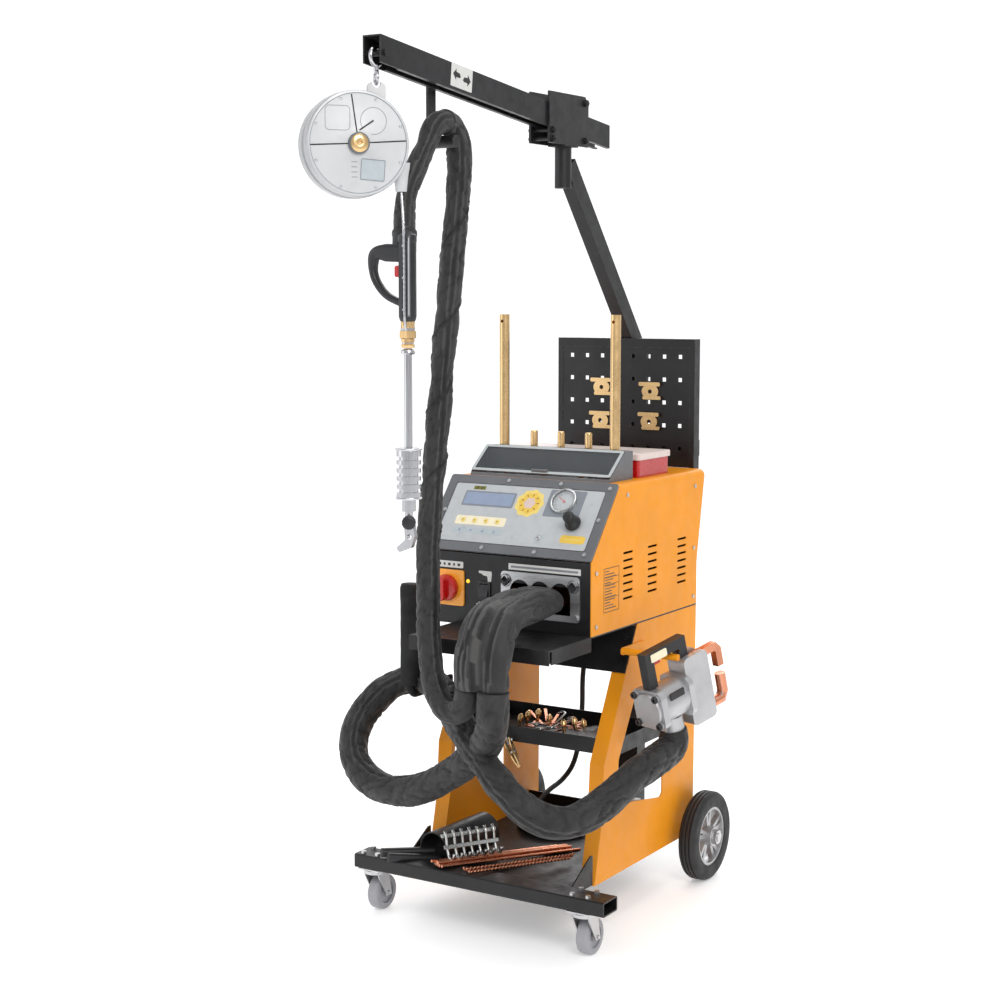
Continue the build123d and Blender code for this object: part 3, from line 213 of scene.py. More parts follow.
def sleeve_material(name, colour, weave=1500, shine=0.55):
    """Coated woven sleeve: thread relief, faded ridges, dark zips and painted shade in the creases, read from the
    mesh.
    """
    material, tree, shader, coords = new_material(name)
    uv = tree.nodes.new("ShaderNodeUVMap").outputs[0]
    split = tree.nodes.new("ShaderNodeSeparateXYZ")
    tree.links.new(uv, split.inputs[0])
    across = maths(tree, "SINE", maths(tree, "MULTIPLY", split.outputs[0], weave))
    along = maths(tree, "SINE", maths(tree, "MULTIPLY", split.outputs[1], weave))
    threads = maths(tree, "MULTIPLY", across, along)
    cloud = noise_node(tree, coords, 12, 6)
    dark = [c * 0.72 for c in colour]
    light = [min(1, c * 1.3) for c in colour]
    base = ramp_mix(tree, ranged(tree, cloud, 0.3, 0.7, 0, 1), dark, light)
    # the mesh attribute darkens zips and straps, and darkens the creases as painted shade
    mark_and_crease_shade = tree.nodes.new("ShaderNodeAttribute")
    mark_and_crease_shade.attribute_name = "mark_and_crease_shade"
    base = ramp_mix(tree, mark_and_crease_shade.outputs["Fac"], base, (0.006, 0.006, 0.007))
    faded = maths(tree, "MULTIPLY", mark_and_crease_shade.outputs["Fac"], -1.0)
    base = ramp_mix(tree, faded, base, (0.12, 0.118, 0.115))
    tree.links.new(base, shader.inputs["Base Color"])
    tree.links.new(
        ranged(tree, noise_node(tree, coords, 45, 5), 0.3, 0.7, shine - 0.1, shine + 0.12),
        shader.inputs["Roughness"],
    )
    shader.inputs["Sheen Weight"].default_value = 0.12
    shader.inputs["Sheen Roughness"].default_value = 0.5
    folds = noise_node(tree, coords, 38, 5, 0.6)
    first = bumped(tree, folds, 0.75, 0.0034)
    tree.links.new(bumped(tree, threads, 0.35, 0.0003, first), shader.inputs["Normal"])
    return material


def printed_material(name, colour, rough=0.3, alpha=1.0, emit=0.0):
    """A printed film: even colour with faint scuffs."""
    material, tree, shader, coords = new_material(name)
    cloud = noise_node(tree, coords, 60, 4)
    base = ramp_mix(tree, ranged(tree, cloud, 0.3, 0.7, 0, 1), [c * 0.93 for c in colour], colour)
    tree.links.new(base, shader.inputs["Base Color"])
    tree.links.new(ranged(tree, cloud, 0.2, 0.8, rough - 0.06, rough + 0.1), shader.inputs["Roughness"])
    shader.inputs["Alpha"].default_value = alpha
    if emit:
        shader.inputs["Emission Color"].default_value = (*colour, 1)
        shader.inputs["Emission Strength"].default_value = emit
    return material


YELLOW = (0.84, 0.305, 0.008)
mats = {
    "yellow_paint": finish_material("yellow_paint", YELLOW, 0.46, vary=0.05, coat=0.08,
                                    grain=420, grain_depth=0.00012, wear=(0.62, 0.40, 0.16)),
    "black_paint": finish_material("black_paint", (0.009, 0.009, 0.010), 0.42, vary=0.3, coat=0.05,
                                   grain=600, grain_depth=0.0001, wear=(0.16, 0.16, 0.16),
                                   dust=0.025),
    "grey_paint": finish_material("grey_paint", (0.13, 0.135, 0.145), 0.4, vary=0.1,
                                  grain=800, grain_depth=0.0001, wear=(0.35, 0.35, 0.35)),
    "zinc_steel": brushed_material("zinc_steel", (0.62, 0.62, 0.63), 0.34, 0),
    "copper": finish_material("copper", (0.75, 0.32, 0.19), 0.3, 1.0, 0.14, 300, 0.00006,
                              stain=(0.30, 0.10, 0.05)),
    "brass": finish_material("brass", (0.78, 0.53, 0.26), 0.26, 1.0, 0.1, 300, 0.00005,
                             stain=(0.66, 0.43, 0.2)),
    "cast_aluminium": finish_material("cast_aluminium", (0.50, 0.50, 0.51), 0.42, 0.75, 0.1,
                                      260, 0.00035, stain=(0.45, 0.44, 0.43)),
    "chrome": brushed_material("chrome", (0.62, 0.62, 0.64), 0.16, 2),
    "black_plastic": finish_material("black_plastic", (0.014, 0.014, 0.016), 0.42, vary=0.2,
                                     grain=900, grain_depth=0.00015, wear=(0.07, 0.07, 0.07)),
    "yellow_plastic": finish_material("yellow_plastic", (0.88, 0.36, 0.03), 0.28, vary=0.06,
                                      coat=0.3),
    "red_plastic": finish_material("red_plastic", (0.50, 0.008, 0.008), 0.24, vary=0.08, coat=0.4),
    "red_paint": finish_material("red_paint", (0.6, 0.02, 0.01), 0.4, vary=0.08),
    "black_foam": finish_material("black_foam", (0.012, 0.012, 0.013), 0.85, vary=0.3, grain=160,
                                  grain_depth=0.0009),
    "black_fabric": sleeve_material("black_fabric", (0.026, 0.025, 0.025)),
    "rubber": finish_material("rubber", (0.014, 0.014, 0.015), 0.6, vary=0.25, grain=500,
                              grain_depth=0.0002, stain=(0.05, 0.048, 0.045)),
    "grey_rubber": finish_material("grey_rubber", (0.32, 0.32, 0.34), 0.5, vary=0.08, grain=300,
                                   grain_depth=0.0001),
    "black_rubber": finish_material("black_rubber", (0.016, 0.016, 0.017), 0.5, vary=0.2),
    "film_white": printed_material("film_white", (0.47, 0.49, 0.50)),
    "film_grey": printed_material("film_grey", (0.22, 0.24, 0.27)),
    "film_black": printed_material("film_black", (0.012, 0.012, 0.013)),
    "film_yellow": printed_material("film_yellow", (0.80, 0.62, 0.18)),
    "film_cream": printed_material("film_cream", (0.85, 0.77, 0.56)),
    "film_brown": printed_material("film_brown", (0.20, 0.09, 0.02), 0.4),
    "film_olive": printed_material("film_olive", (0.16, 0.15, 0.02)),
    "film_pale": printed_material("film_pale", (0.62, 0.62, 0.60)),
    "film_pale_blue": printed_material("film_pale_blue", (0.42, 0.47, 0.50)),
    "film_amber": printed_material("film_amber", (0.78, 0.52, 0.08)),
    "film_pink": printed_material("film_pink", (0.66, 0.52, 0.48)),
    "film_line": printed_material("film_line", (0.20, 0.21, 0.23)),
    "film_grey_light": printed_material("film_grey_light", (0.46, 0.49, 0.50)),
    "film_cream_light": printed_material("film_cream_light", (0.72, 0.62, 0.58), 0.4),
    "film_umber": printed_material("film_umber", (0.13, 0.07, 0.015), 0.45),
    "drum_silver": finish_material("drum_silver", (0.52, 0.53, 0.54), 0.42, 0.25, 0.06, 500, 0.00008),
    "zinc_bright": brushed_material("zinc_bright", (0.66, 0.67, 0.66), 0.25, 2),
    "bag_film": printed_material("bag_film", (0.80, 0.82, 0.84), 0.12, 0.22),
    "display": printed_material("display", (0.27, 0.33, 0.45), 0.12),
    "lamp": printed_material("lamp", (1.0, 0.62, 0.05), 0.2, 1, 0.8),
}
glass, glass_tree, glass_shader, glass_coords = new_material("clear_plastic")
glass_shader.inputs["Base Color"].default_value = (0.10, 0.11, 0.12, 1)
glass_shader.inputs["Alpha"].default_value = 0.34
glass_shader.inputs["Specular IOR Level"].default_value = 0.3
smudge = noise_node(glass_tree, glass_coords, 18, 6)
glass_tree.links.new(ranged(glass_tree, smudge, 0.35, 0.7, 0.04, 0.22), glass_shader.inputs["Roughness"])
mats["clear_plastic"] = glass
lens = glass.copy()
lens.name = "lens"
lens.node_tree.nodes["Principled BSDF"].inputs["Base Color"].default_value = (0.8, 0.83, 0.85, 1)
lens.node_tree.nodes["Principled BSDF"].inputs["Alpha"].default_value = 0.12
mats["lens"] = lens

for name, level in (("yellow_paint", 0.25), ("black_fabric", 0.3), ("black_paint", 0.4)):
    mats[name].node_tree.nodes["Principled BSDF"].inputs["Specular IOR Level"].default_value = level

for part in frame["record"]["subparts"]:
    node = frame["nodes"][part["node"]]
    node.data.materials.clear()
    node.data.materials.append(mats[part["material_slot"]])
    node.data.shade_smooth()
    node.data.set_sharp_from_angle(angle=math.radians(32))


# the open tube among the tray's tools is black, the rods copper
tools = frame["nodes"]["tray_tools"]
tools.data.materials.append(mats["black_plastic"])
tube_start, tube_run = Vector((-0.128, -0.074, 0.145)), Vector((0.12, 1, 0.03)).normalized()
for face in tools.data.polygons:
    offset = tools.matrix_world @ face.center - tube_start
    if 0.034 < (offset - tube_run * offset.dot(tube_run)).length < 0.0405:
        face.material_index = 1


# ------------------------------------------------------------------ mesh helpers
def add_mesh(name, verts, faces, material, body, slot=None, smooth=40, uv=None, marks_and_crease_shade=None):
    mesh = bpy.data.meshes.new(name)
    mesh.from_pydata([Vector(v) * MM for v in verts], [], faces)
    mesh.update()
    mesh.materials.append(mats[material])
    mesh.shade_smooth()
    mesh.set_sharp_from_angle(angle=math.radians(smooth))
    if uv:
        layer = mesh.uv_layers.new(name="sleeve")
        for loop in mesh.loops:
            layer.data[loop.index].uv = uv[loop.vertex_index]
    if marks_and_crease_shade:
        attribute = mesh.attributes.new("mark_and_crease_shade", "FLOAT", "POINT")
        attribute.data.foreach_set("value", marks_and_crease_shade)
    obj = bpy.data.objects.new(name, mesh)
    scene.collection.objects.link(obj)
    slot or (material if material in SLOTS else "black_plastic")
    if body:
        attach(obj, body)
    return obj


SLOTS = {m["slot"] for m in frame["record"]["materials"]}


class Place:
    """Local axes for a piece: at(u, v, w) gives the point in the row frame, in millimetres."""

    def __init__(self, origin, x, y):
        self.origin = Vector(origin)
        self.x = Vector(x).normalized()
        z = self.x.cross(Vector(y)).normalized()
        self.y = z.cross(self.x)
        self.z = z

    def at(self, u=0.0, v=0.0, w=0.0):
        return self.origin + self.x * u + self.y * v + self.z * w

    def moved(self, u=0.0, v=0.0, w=0.0):
        return Place(self.at(u, v, w), self.x, self.y)

    def turned(self, degrees_):
        a = math.radians(degrees_)
        x = self.x * math.cos(a) + self.y * math.sin(a)
        y = self.y * math.cos(a) - self.x * math.sin(a)
        return Place(self.origin, x, y)


def loft(name, rings, material, body, closed=True, caps=True, **more):
    """Skin over rings of equal length."""
    verts = [p for ring in rings for p in ring]
    count = len(rings[0])
    faces = []
    for r in range(len(rings) - 1):
        for i in range(count if closed else count - 1):
            j = (i + 1) % count
            faces.append((r * count + i, r * count + j, (r + 1) * count + j, (r + 1) * count + i))
    if caps:
        faces.append(tuple(reversed(range(count))))
        faces.append(tuple(range((len(rings) - 1) * count, len(rings) * count)))
    return add_mesh(name, verts, faces, material, body, **more)


def round_outline(width, height, radius, steps=5):
    points = []
    radius = min(radius, width / 2 - 0.01, height / 2 - 0.01)
    for cx, cy, start in (
        (width / 2 - radius, height / 2 - radius, 0),
        (-width / 2 + radius, height / 2 - radius, 90),
        (-width / 2 + radius, -height / 2 + radius, 180),
        (width / 2 - radius, -height / 2 + radius, 270),
    ):
        for k in range(steps + 1):
            a = math.radians(start + 90 * k / steps)
            points.append((cx + radius * math.cos(a), cy + radius * math.sin(a)))
    return points


def slab(name, place, width, height, thick, radius, material, body, edge=0.4, low=0.0, **more):
    """A plate with round corners and softened edges, standing from low along the place's z."""
    edge = min(edge, thick * 0.45, width * 0.2, height * 0.2)
    full = round_outline(width, height, radius)
    inner = round_outline(width - 2 * edge, height - 2 * edge, max(0.05, radius - edge))
    rings = [
        [place.at(u, v, low) for u, v in full],
        [place.at(u, v, low + thick - edge) for u, v in full],
        [place.at(u * 0.3 + u2 * 0.7, v * 0.3 + v2 * 0.7, low + thick - edge * 0.3)
         for (u, v), (u2, v2) in zip(full, inner)],
        [place.at(u, v, low + thick) for u, v in inner],
    ]
    return loft(name, rings, material, body, **more)


def outline_plate(name, place, outline, thick, material, body, low=0.0, **more):
    """A flat shape of any outline."""
    rings = [[place.at(u, v, low) for u, v in outline],
             [place.at(u, v, low + thick) for u, v in outline]]
    return loft(name, rings, material, body, **more)


def lathe(name, place, profile, material, body, count=40, closed_profile=False, **more):
    """A turned piece about the place's z; profile is (radius, height)."""
    rings = []
    if closed_profile:
        profile = list(profile) + [profile[0]]
    for radius, height in profile:
        radius = max(radius, 0.01)
        rings.append([
            place.at(radius * math.cos(2 * math.pi * k / count),
                     radius * math.sin(2 * math.pi * k / count), height)
            for k in range(count)
        ])
    more.setdefault("caps", not closed_profile)
    return loft(name, rings, material, body, **more)


def ribbed_ring(place, radius, height, rib, ribs, count, phase=0.0):
    """Points round the place's z whose radius waves in and out, ribs times a turn."""
    return [place.at(r * math.cos(a), r * math.sin(a), height) for a, r in (
        (a, radius + rib * math.cos(ribs * a + phase)) for a in (
            2 * math.pi * k / count for k in range(count)))]


def screw_head(name, place, radius, material, body, height=2.2, hexagon=False):
    if hexagon:
        lathe(name + "_washer", place, [(radius * 1.35, 0), (radius * 1.35, 1.0), (radius, 1.0)],
              "zinc_steel", body, 24, slot="zinc_steel")
        place = place.moved(w=1.0)
        return lathe(name, place, [(radius, 0), (radius, height * 1.5), (radius * 0.86, height * 1.8)],
                     material, body, 6, smooth=20)
    return lathe(
        name, place,
        [(radius, 0), (radius, height * 0.35), (radius * 0.8, height * 0.8),
         (radius * 0.45, height), (radius * 0.42, height * 0.55), (0.01, height * 0.5)],
        material, body, 24)


def nurbs_line(name, points, spacing=5.0):
    """Even points along the smooth curve that the route's points steer, in millimetres."""
    data = bpy.data.curves.new(name + "_route", "CURVE")
    data.dimensions = "3D"
    data.resolution_u = 24
    spline = data.splines.new("NURBS")
    spline.points.add(len(points) - 1)
    for item, point in zip(spline.points, points):
        item.co = (*point, 1)
    spline.order_u = 3
    spline.use_endpoint_u = True
    obj = bpy.data.objects.new(name + "_route", data)
    scene.collection.objects.link(obj)
    bpy.context.view_layer.update()
    mesh = bpy.data.meshes.new_from_object(obj)
    line = [v.co.copy() for v in mesh.vertices]
    bpy.data.objects.remove(obj)
    bpy.data.meshes.remove(mesh)
    return resample(line, spacing)


def resample(line, spacing):
    travelled = [0.0]
    for a, b in zip(line, line[1:]):
        travelled.append(travelled[-1] + (b - a).length)
    count = max(3, round(travelled[-1] / spacing))
    result, k = [], 0
    for i in range(count + 1):
        want = travelled[-1] * i / count
        while k < len(line) - 2 and travelled[k + 1] < want:
            k += 1
        span = travelled[k + 1] - travelled[k]
        result.append(line[k].lerp(line[k + 1], (want - travelled[k]) / span if span else 0))
    return result


def line_length(line):
    return sum((b - a).length for a, b in zip(line, line[1:]))


def frames(line, start_normal):
    """Tangent and two normals at each point, turned along with as little twist as possible."""
    normal = Vector(start_normal)
    result = []
    for i in range(len(line)):
        tangent = (line[min(i + 1, len(line) - 1)] - line[max(i - 1, 0)]).normalized()
        normal = (normal - tangent * normal.dot(tangent)).normalized()
        result.append((tangent, normal, tangent.cross(normal)))
    return result


TO_FRONT_RIGHT = Vector((0.53, -0.848, 0))


def facing(line, share, start_normal=(1, 0, 0)):
    """Share of a turn round the line that looks to the front right, part of the way along it."""
    rows = frames(line, start_normal)
    _, normal, side = rows[int(share * (len(rows) - 1))]
    aim = TO_FRONT_RIGHT
    return math.atan2(aim.dot(side), aim.dot(normal)) / (2 * math.pi) % 1


def sweep(name, line, section, material, body, start_normal=(0, 0, 1), caps=True, **more):
    """section(s, i) gives the ring's points as (across, up) at distance s."""
    rings, s = [], 0.0
    for i, (point, (_, normal, side)) in enumerate(zip(line, frames(line, start_normal))):
        if i:
            s += (point - line[i - 1]).length
        rings.append([point + normal * a + side * b for a, b in section(s, i)])
    return loft(name, rings, material, body, caps=caps, **more)


def rod(name, points, radius, material, body, count=12, spacing=None, smooth_line=False, **more):
    line = [Vector(p) for p in points]
    if smooth_line:
        line = nurbs_line(name, points, spacing or 3)
    circle = [(math.cos(2 * math.pi * k / count), math.sin(2 * math.pi * k / count))
              for k in range(count)]
    first = (line[1] - line[0]).normalized()
    start = (0, 0, 1) if abs(first.z) < 0.9 else (1, 0, 0)
    return sweep(name, line, lambda s, i: [(radius * a, radius * b) for a, b in circle],
                 material, body, start, **more)


# ------------------------------------------------------------------ sleeved hoses
def sleeve(name, line, diameter, seed, zips=(0.3,), start_normal=(1, 0, 0), pinches=(),
           count=44, ends=(1.0, 1.0), body=None, straps=(), squeeze=0.0):
    """A hose in its loose fabric sleeve, with creases, zips, pinches and wound straps; the creases are also
    darkened in colour as painted shade.
    """
    half = diameter / 2
    total = line_length(line)
    verts, faces, uv, marks_and_crease_shade = [], [], [], []
    s = 0.0
    last = None
    for i, (point, (tangent, normal, side)) in enumerate(zip(line, frames(line, start_normal))):
        if i:
            s += (point - line[i - 1]).length
        ease = min(1.0, s / 30, (total - s) / 30)
        for k in range(count):
            a = 2 * math.pi * k / count
            spin = a + s / 170 + seed
            place = Vector((math.cos(spin) * 1.1, math.sin(spin) * 1.1, s / 55 + seed * 7))
            slow = noise.noise(place * 0.7)
            fold_at = Vector((math.cos(spin) * 1.3, math.sin(spin) * 1.3,
                              s / 34 + math.sin(a + seed) * 0.9 + seed))
            fold = 1 - min(1, abs(noise.noise(fold_at)) * 4.5)
            small = noise.noise(place * 3.1)
            crease = 1 - min(1, abs(noise.noise(fold_at * 2.1 + Vector((5, 2, 8)))) * 5)
            relief = 0.09 * slow - 0.13 * fold ** 2 - 0.05 * crease ** 2 + 0.02 * small
            radius = half * (0.985 + ease * relief)
            for at, width, depth in pinches:
                radius *= 1 - depth * math.exp(-(((s - at) / width) ** 2)) * ease
            # painted shade: folds and creases darkened in the colour attribute
            mark_and_crease_shade = ease * min(0.6, 0.55 * fold ** 2 + 0.4 * crease ** 3)
            for z, zip_at in enumerate(zips):
                centre = 2 * math.pi * zip_at + 0.25 * math.sin(s / 210 + z)
                off = (a - centre + math.pi) % (2 * math.pi) - math.pi
                distance = abs(off) * half
                radius += 1.3 * math.exp(-((distance - 6.5) / 2.6) ** 2) * ease
                radius -= 0.9 * math.exp(-(distance / 3.0) ** 2) * ease
                if distance < 2.9:
                    mark_and_crease_shade = 0.9
                elif 5.0 < distance < 8.2:
                    mark_and_crease_shade = -0.35
            for at, pitch, turns in straps:
                turn = (s - at) / pitch
                if -0.4 < turn < turns + 0.4:
                    off = ((a / (2 * math.pi) - turn) + 0.5) % 1 - 0.5
                    distance = abs(off * pitch)
                    if distance < 9:
                        swell = math.exp(-((distance / 4.2) ** 4))
                        radius += swell * 2.2 * ease
                        radius -= 2.2 * math.exp(-(((distance - 8) / 3.0) ** 2)) * ease
                        mark_and_crease_shade = max(mark_and_crease_shade, swell)
            start_scale = ends[0] + (1 - ends[0]) * min(1, s / 26)
            end_scale = ends[1] + (1 - ends[1]) * min(1, (total - s) / 26)
            radius *= start_scale * end_scale
            flat = 1 - squeeze * math.sin(math.pi * s / total)
            verts.append(point + normal * math.cos(a) * radius + side * math.sin(a) * radius * flat)
            uv.append((a * half / 1000, s / 1000))
            marks_and_crease_shade.append(mark_and_crease_shade)
        if last is not None:
            for k in range(count):
                j = (k + 1) % count
                faces.append((last + k, last + j, last + count + j, last + count + k))
        last = i * count
    faces.append(tuple(reversed(range(count))))
    faces.append(tuple(range(last, last + count)))
    return add_mesh(name, verts, faces, "black_fabric", body, smooth=180, uv=uv, marks_and_crease_shade=marks_and_crease_shade)


clamp_along = Vector((0.30, 0.92, 0.25)).normalized()
clamp_side = Vector((0.92, -0.30, 0)).normalized()
clamp_up = clamp_along.cross(clamp_side)
if clamp_up.z < 0:
    clamp_up = -clamp_up
clamp_origin = Vector((300, 75, 471))


def clamp_point(along, up, across=0.0):
    return clamp_origin + clamp_along * along + clamp_up * up + clamp_side * across


lower_route = [
    (61, -238, 545.6), (61, -238, 516), (32, -234, 490), (-8, -224, 498), (-40, -212, 545),
    (-57, -200, 640), (-57, -200, 740),
]
riser_route = [
    (-57, -200, 810), (-46, -201, 930), (-32, -198, 1060), (-18, -201, 1190), (-3, -199, 1320),
    (8, -197, 1430), (14, -190, 1530), (12, -186, 1598), (8, -196, 1626), (8, -214, 1641),
    (8, -233, 1641),
]
upper_route = [
    (8, -233.3, 1641), (8, -252, 1641), (6, -270, 1627), (2, -286, 1592), (-6, -310, 1548),
    (-10, -334, 1503), (-2, -352, 1464), (10, -370, 1428),
]
clamp_route = [
    (121, -238, 545.6), (121, -238, 500), (100, -210, 455), (50, -165, 405), (-30, -140, 345),
    (-125, -130, 285), (-240, -118, 268), (-328, -95, 308), (-352, -52, 385), (-318, 5, 455),
    (-250, 44, 487), (-180, 15, 480), (-75, -80, 452), (40, -180, 408), (140, -222, 345),
    (215, -222, 300), (262, -175, 288), (288, -95, 312), (305, -10, 350), (318, 70, 368),
    tuple(clamp_point(56, -104)), tuple(clamp_point(56, -66)),
]
mains_route = [
    (-60, 504.2, 650), (-60, 520, 650), (-70, 534, 630), (-84, 536, 585), (-92, 528, 530),
    (-98, 518, 470), (-102, 512, 410), (-100, 510, 350), (-104, 508, 290), (-110, 504, 235),
    (-118, 492, 196), (-130, 460, 168), (-138, 420, 158), (-141, 375, 138), (-140, 340, 122),
    (-138.3, 310, 117),
]

gun_line = nurbs_line("gun_hose", lower_route + riser_route)
gun_hose = sleeve(
    "gun_hose", gun_line, 50, 1.7, zips=(facing(gun_line, 0.55) + 0.07,),
    pinches=((560, 16, 0.12), (770, 20, 0.16), (905, 14, 0.12), (1105, 22, 0.1), (1270, 26, 0.1)),
    straps=((520, 150, 2.2), (980, 190, 1.5)),
)
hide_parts("gun_hose_lower", "gun_hose_riser")
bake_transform(gun_hose)

upper_line = nurbs_line("gun_hose_top", upper_route, 4)
gun_hose_top = sleeve(
    "gun_hose_top", upper_line, 44, 4.2, zips=(facing(upper_line, 0.6) - 0.06,),
    pinches=((80, 16, 0.1), (190, 22, 0.1)), ends=(1.0, 0.92),
)
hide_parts("gun_hose_upper")
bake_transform(gun_hose_top)

clamp_line = nurbs_line("clamp_hose", clamp_route)
clamp_hose = sleeve(
    "clamp_hose_sleeve", clamp_line, 66, 9.1, zips=(facing(clamp_line, 0.78) + 0.05,), count=56,
    pinches=((330, 40, 0.05), (1290, 34, 0.1), (1370, 24, 0.08), (820, 30, 0.08)), body="root",
    ends=(0.98, 0.86),
)
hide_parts("clamp_hose")

# mains lead: down behind the cart, then a neat tied coil on the floor tray, then its plug
coil_x, coil_y = -60, 310
low_turns, high_turns = 110.3, 122.8  # heights of the coil's two layers
coil_radius, turn_pitch = 72, 12.2
climb_from, climb_to = 2.25, 2.75  # turns between which the lead climbs to the upper layer


def coil_point(t):
    """A point of the stored coil after t turns: inwards on the tray, then outwards on top."""
    inner = coil_radius - turn_pitch * climb_from
    if t < climb_from:
        radius, height = coil_radius - turn_pitch * t, low_turns
    elif t < climb_to:
        climbed = (t - climb_from) / (climb_to - climb_from)
        radius, height = inner, low_turns + (high_turns - low_turns) * climbed
    else:
        radius, height = inner + 12.0 * (t - climb_to), high_turns
    entry = max(0.0, 1 - t / 0.25) ** 2
    radius += 12 * entry
    height += 5 * entry
    angle = math.pi * (1 + 2 * t)
    return (coil_x + radius * math.cos(angle), coil_y + radius * math.sin(angle), height)


mains_points = mains_route[:-2] + [(-147, 345, 121)]
mains_points += [coil_point(5.5 * k / 132) for k in range(133)]
mains_points += [(19, 330, 123.6), (25, 344, 125.6), (28, 352.4, 126.3)]
mains_line = nurbs_line("mains", mains_points, 3)
circle16 = [(math.cos(math.pi * k / 8), math.sin(math.pi * k / 8)) for k in range(16)]
mains_cord = sweep("mains_cord", mains_line, lambda s, i: [(6 * a, 6 * b) for a, b in circle16],
                   "black_rubber", "root", (1, 0, 0), smooth=180)
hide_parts("mains_lead", "mains_coil")
tie = Place((coil_x, coil_y + 60, 117), (0, 1, 0), (0, 0, 1))
loft("coil_tie", [[tie.at(u, v, w) for u, v in round_outline(46, 29, 8)] for w in (-7, 7)],
     "black_rubber", "root", caps=False)

# ------------------------------------------------------------------ soft pieces on the hoses
sheath_route = [(86, -3.4, 690), (86, -90, 690), (94, -238, 672), (94, -238, 546)]
sheath_line = nurbs_line("sheath", sheath_route, 4)


def sheath_section(s, i, count=72):
    """Two hoses side by side in one zipped sleeve: a waist between them, folds and three zips."""
    total = line_length(sheath_line)
    ring = []
    ease = min(1.0, s / 40, (total - s) / 25)
    for k in range(count):
        a = 2 * math.pi * k / count
        across, up = math.cos(a), math.sin(a)
        power = 2 / 2.5
        u = 61 * math.copysign(abs(across) ** power, across)
        v = 30.5 * math.copysign(abs(up) ** power, up)
        gather = max(0.0, 1 - (total - s) / 70)
        waist = 1 - (0.13 * ease + 0.45 * gather) * math.exp(-((u + 6) / (11 + 3 * gather)) ** 2)
        spot = Vector((u / 34, v / 20 + 3, s / 60))
        fold_at = Vector((u / 24 + s / 90, v / 16, s / 120 + 5))
        fold = 1 - min(1, abs(noise.noise(fold_at)) * 4)
        swell = 1 + ease * (0.07 * noise.noise(spot) - 0.10 * fold * fold)
        groove = 0.0
        if v > 0:
            for zip_u in (-24, 8, 22, 40):
                centre = zip_u + 5 * math.sin(s / 70 + zip_u)
                groove += 2.6 * math.exp(-((u - centre) / 2.8) ** 2)
                groove -= 1.5 * math.exp(-(abs(u - centre) - 6) ** 2 / 6)
        radial = 1 - groove / 32 * ease
        if s < 40:
            swell *= 0.93 + 0.07 * s / 40
        lip = max(0.0, 1 - (total - s) / 18)
        swell *= (1 - 0.03 * gather) * (1 - 0.1 * lip * lip)
        ring.append((v * waist * swell * radial, u * swell))
    return ring


sheath = sweep("sheath_sleeve", sheath_line, sheath_section, "black_fabric", "root", (0, 0, 1),
               smooth=180, slot="black_fabric")
layer = sheath.data.uv_layers.new(name="sleeve")
for loop in sheath.data.loops:
    ring_index, k = divmod(loop.vertex_index, 72)
    layer.data[loop.index].uv = (k * 0.0042, ring_index * 0.004)
mark_and_crease_shade = sheath.data.attributes.new("mark_and_crease_shade", "FLOAT", "POINT")
values = []
for index in range(len(sheath.data.vertices)):
    ring_index, k = divmod(index, 72)
    a = 2 * math.pi * k / 72
    u = 61 * math.copysign(abs(math.cos(a)) ** 0.8, math.cos(a))
    s = ring_index * 4
    dark = 0.0
    if math.sin(a) > 0:
        for zip_u in (-24, 8, 22, 40):
            off = abs(u - zip_u - 5 * math.sin(s / 70 + zip_u))
            if off < 3.4:
                dark = 0.9
            elif off < 8 and dark == 0:
                dark = -0.45
    values.append(dark)
mark_and_crease_shade.data.foreach_set("value", values)
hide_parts("hose_sheath")

foam_line = [Vector((-240, 0, z)) for z in range(476, 697, 4)]


def foam_section(s, i, count=40):
    ring = []
    for k in range(count):
        a = 2 * math.pi * k / count
        bump = noise.noise(Vector((math.cos(a) * 2, math.sin(a) * 2, s / 18)))
        big = noise.noise(Vector((math.cos(a), math.sin(a), s / 70 + 9)))
        end = min(1.0, 0.86 + s / 60, 0.86 + (220 - s) / 60)
        radius = (21.6 + 0.5 * bump + 0.9 * big) * end
        ring.append((radius * math.cos(a), radius * math.sin(a)))
    return ring


foam = sweep("hook_foam", foam_line, foam_section, "black_foam", "root", (1, 0, 0), smooth=180)

# wire rope of the balancer, clipped to the gun's chuck
rope_points = [(31, -410, 1514), (33, -411.5, 1492), (44.5, -420.6, 1436), (44.5, -420.6, 1300),
               (44.0, -419.0, 1258), (42.5, -413.0, 1240)]
rope_line = nurbs_line("rope", rope_points, 2.5)


def rope_section(s, i, count=12):
    """Six strands laid round each other."""
    ring = []
    for k in range(count):
        a = 2 * math.pi * k / count
        radius = 2.5 + 0.35 * math.cos(6 * (a + s / 9))
        ring.append((radius * math.cos(a), radius * math.sin(a)))
    return ring


rope = sweep("wire_rope", rope_line, rope_section, "chrome", None, (1, 0, 0), smooth=60)
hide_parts("balancer_rope")
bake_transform(rope)

# ------------------------------------------------------------------ places on the object
panel = Place((0, -2.414, 776.944), (1, 0, 0), (0, 0.6272, 0.7788))  # the sloped panel
front = Place((0, 0, 0), (1, 0, 0), (0, 0, 1))
right_wall = Place((206, 0, 0), (0, 1, 0), (0, 0, 1))


def ring_plate(name, place, width, height, radius, border, thick, material, body, low=0.0, **more):
    """A flat rounded frame."""
    outer = round_outline(width, height, radius)
    inner = round_outline(width - 2 * border, height - 2 * border, max(0.1, radius - border))
    rings = [[place.at(u, v, w) for u, v in outline] for outline, w in (
        (outer, low), (outer, low + thick), (inner, low + thick), (inner, low), (outer, low))]
    return loft(name, rings, material, body, caps=False, **more)


def ring(name, place, inner, outer, low, high, material, body, count=48, **more):
    """A flat turned ring with softened edges."""
    soft = min(0.35, (outer - inner) * 0.3, (high - low) * 0.3)
    profile = [(outer, low), (outer, high - soft), (outer - soft, high), (inner + soft, high),
               (inner, high - soft), (inner, low)]
    return lathe(name, place, profile, material, body, count, closed_profile=True, **more)


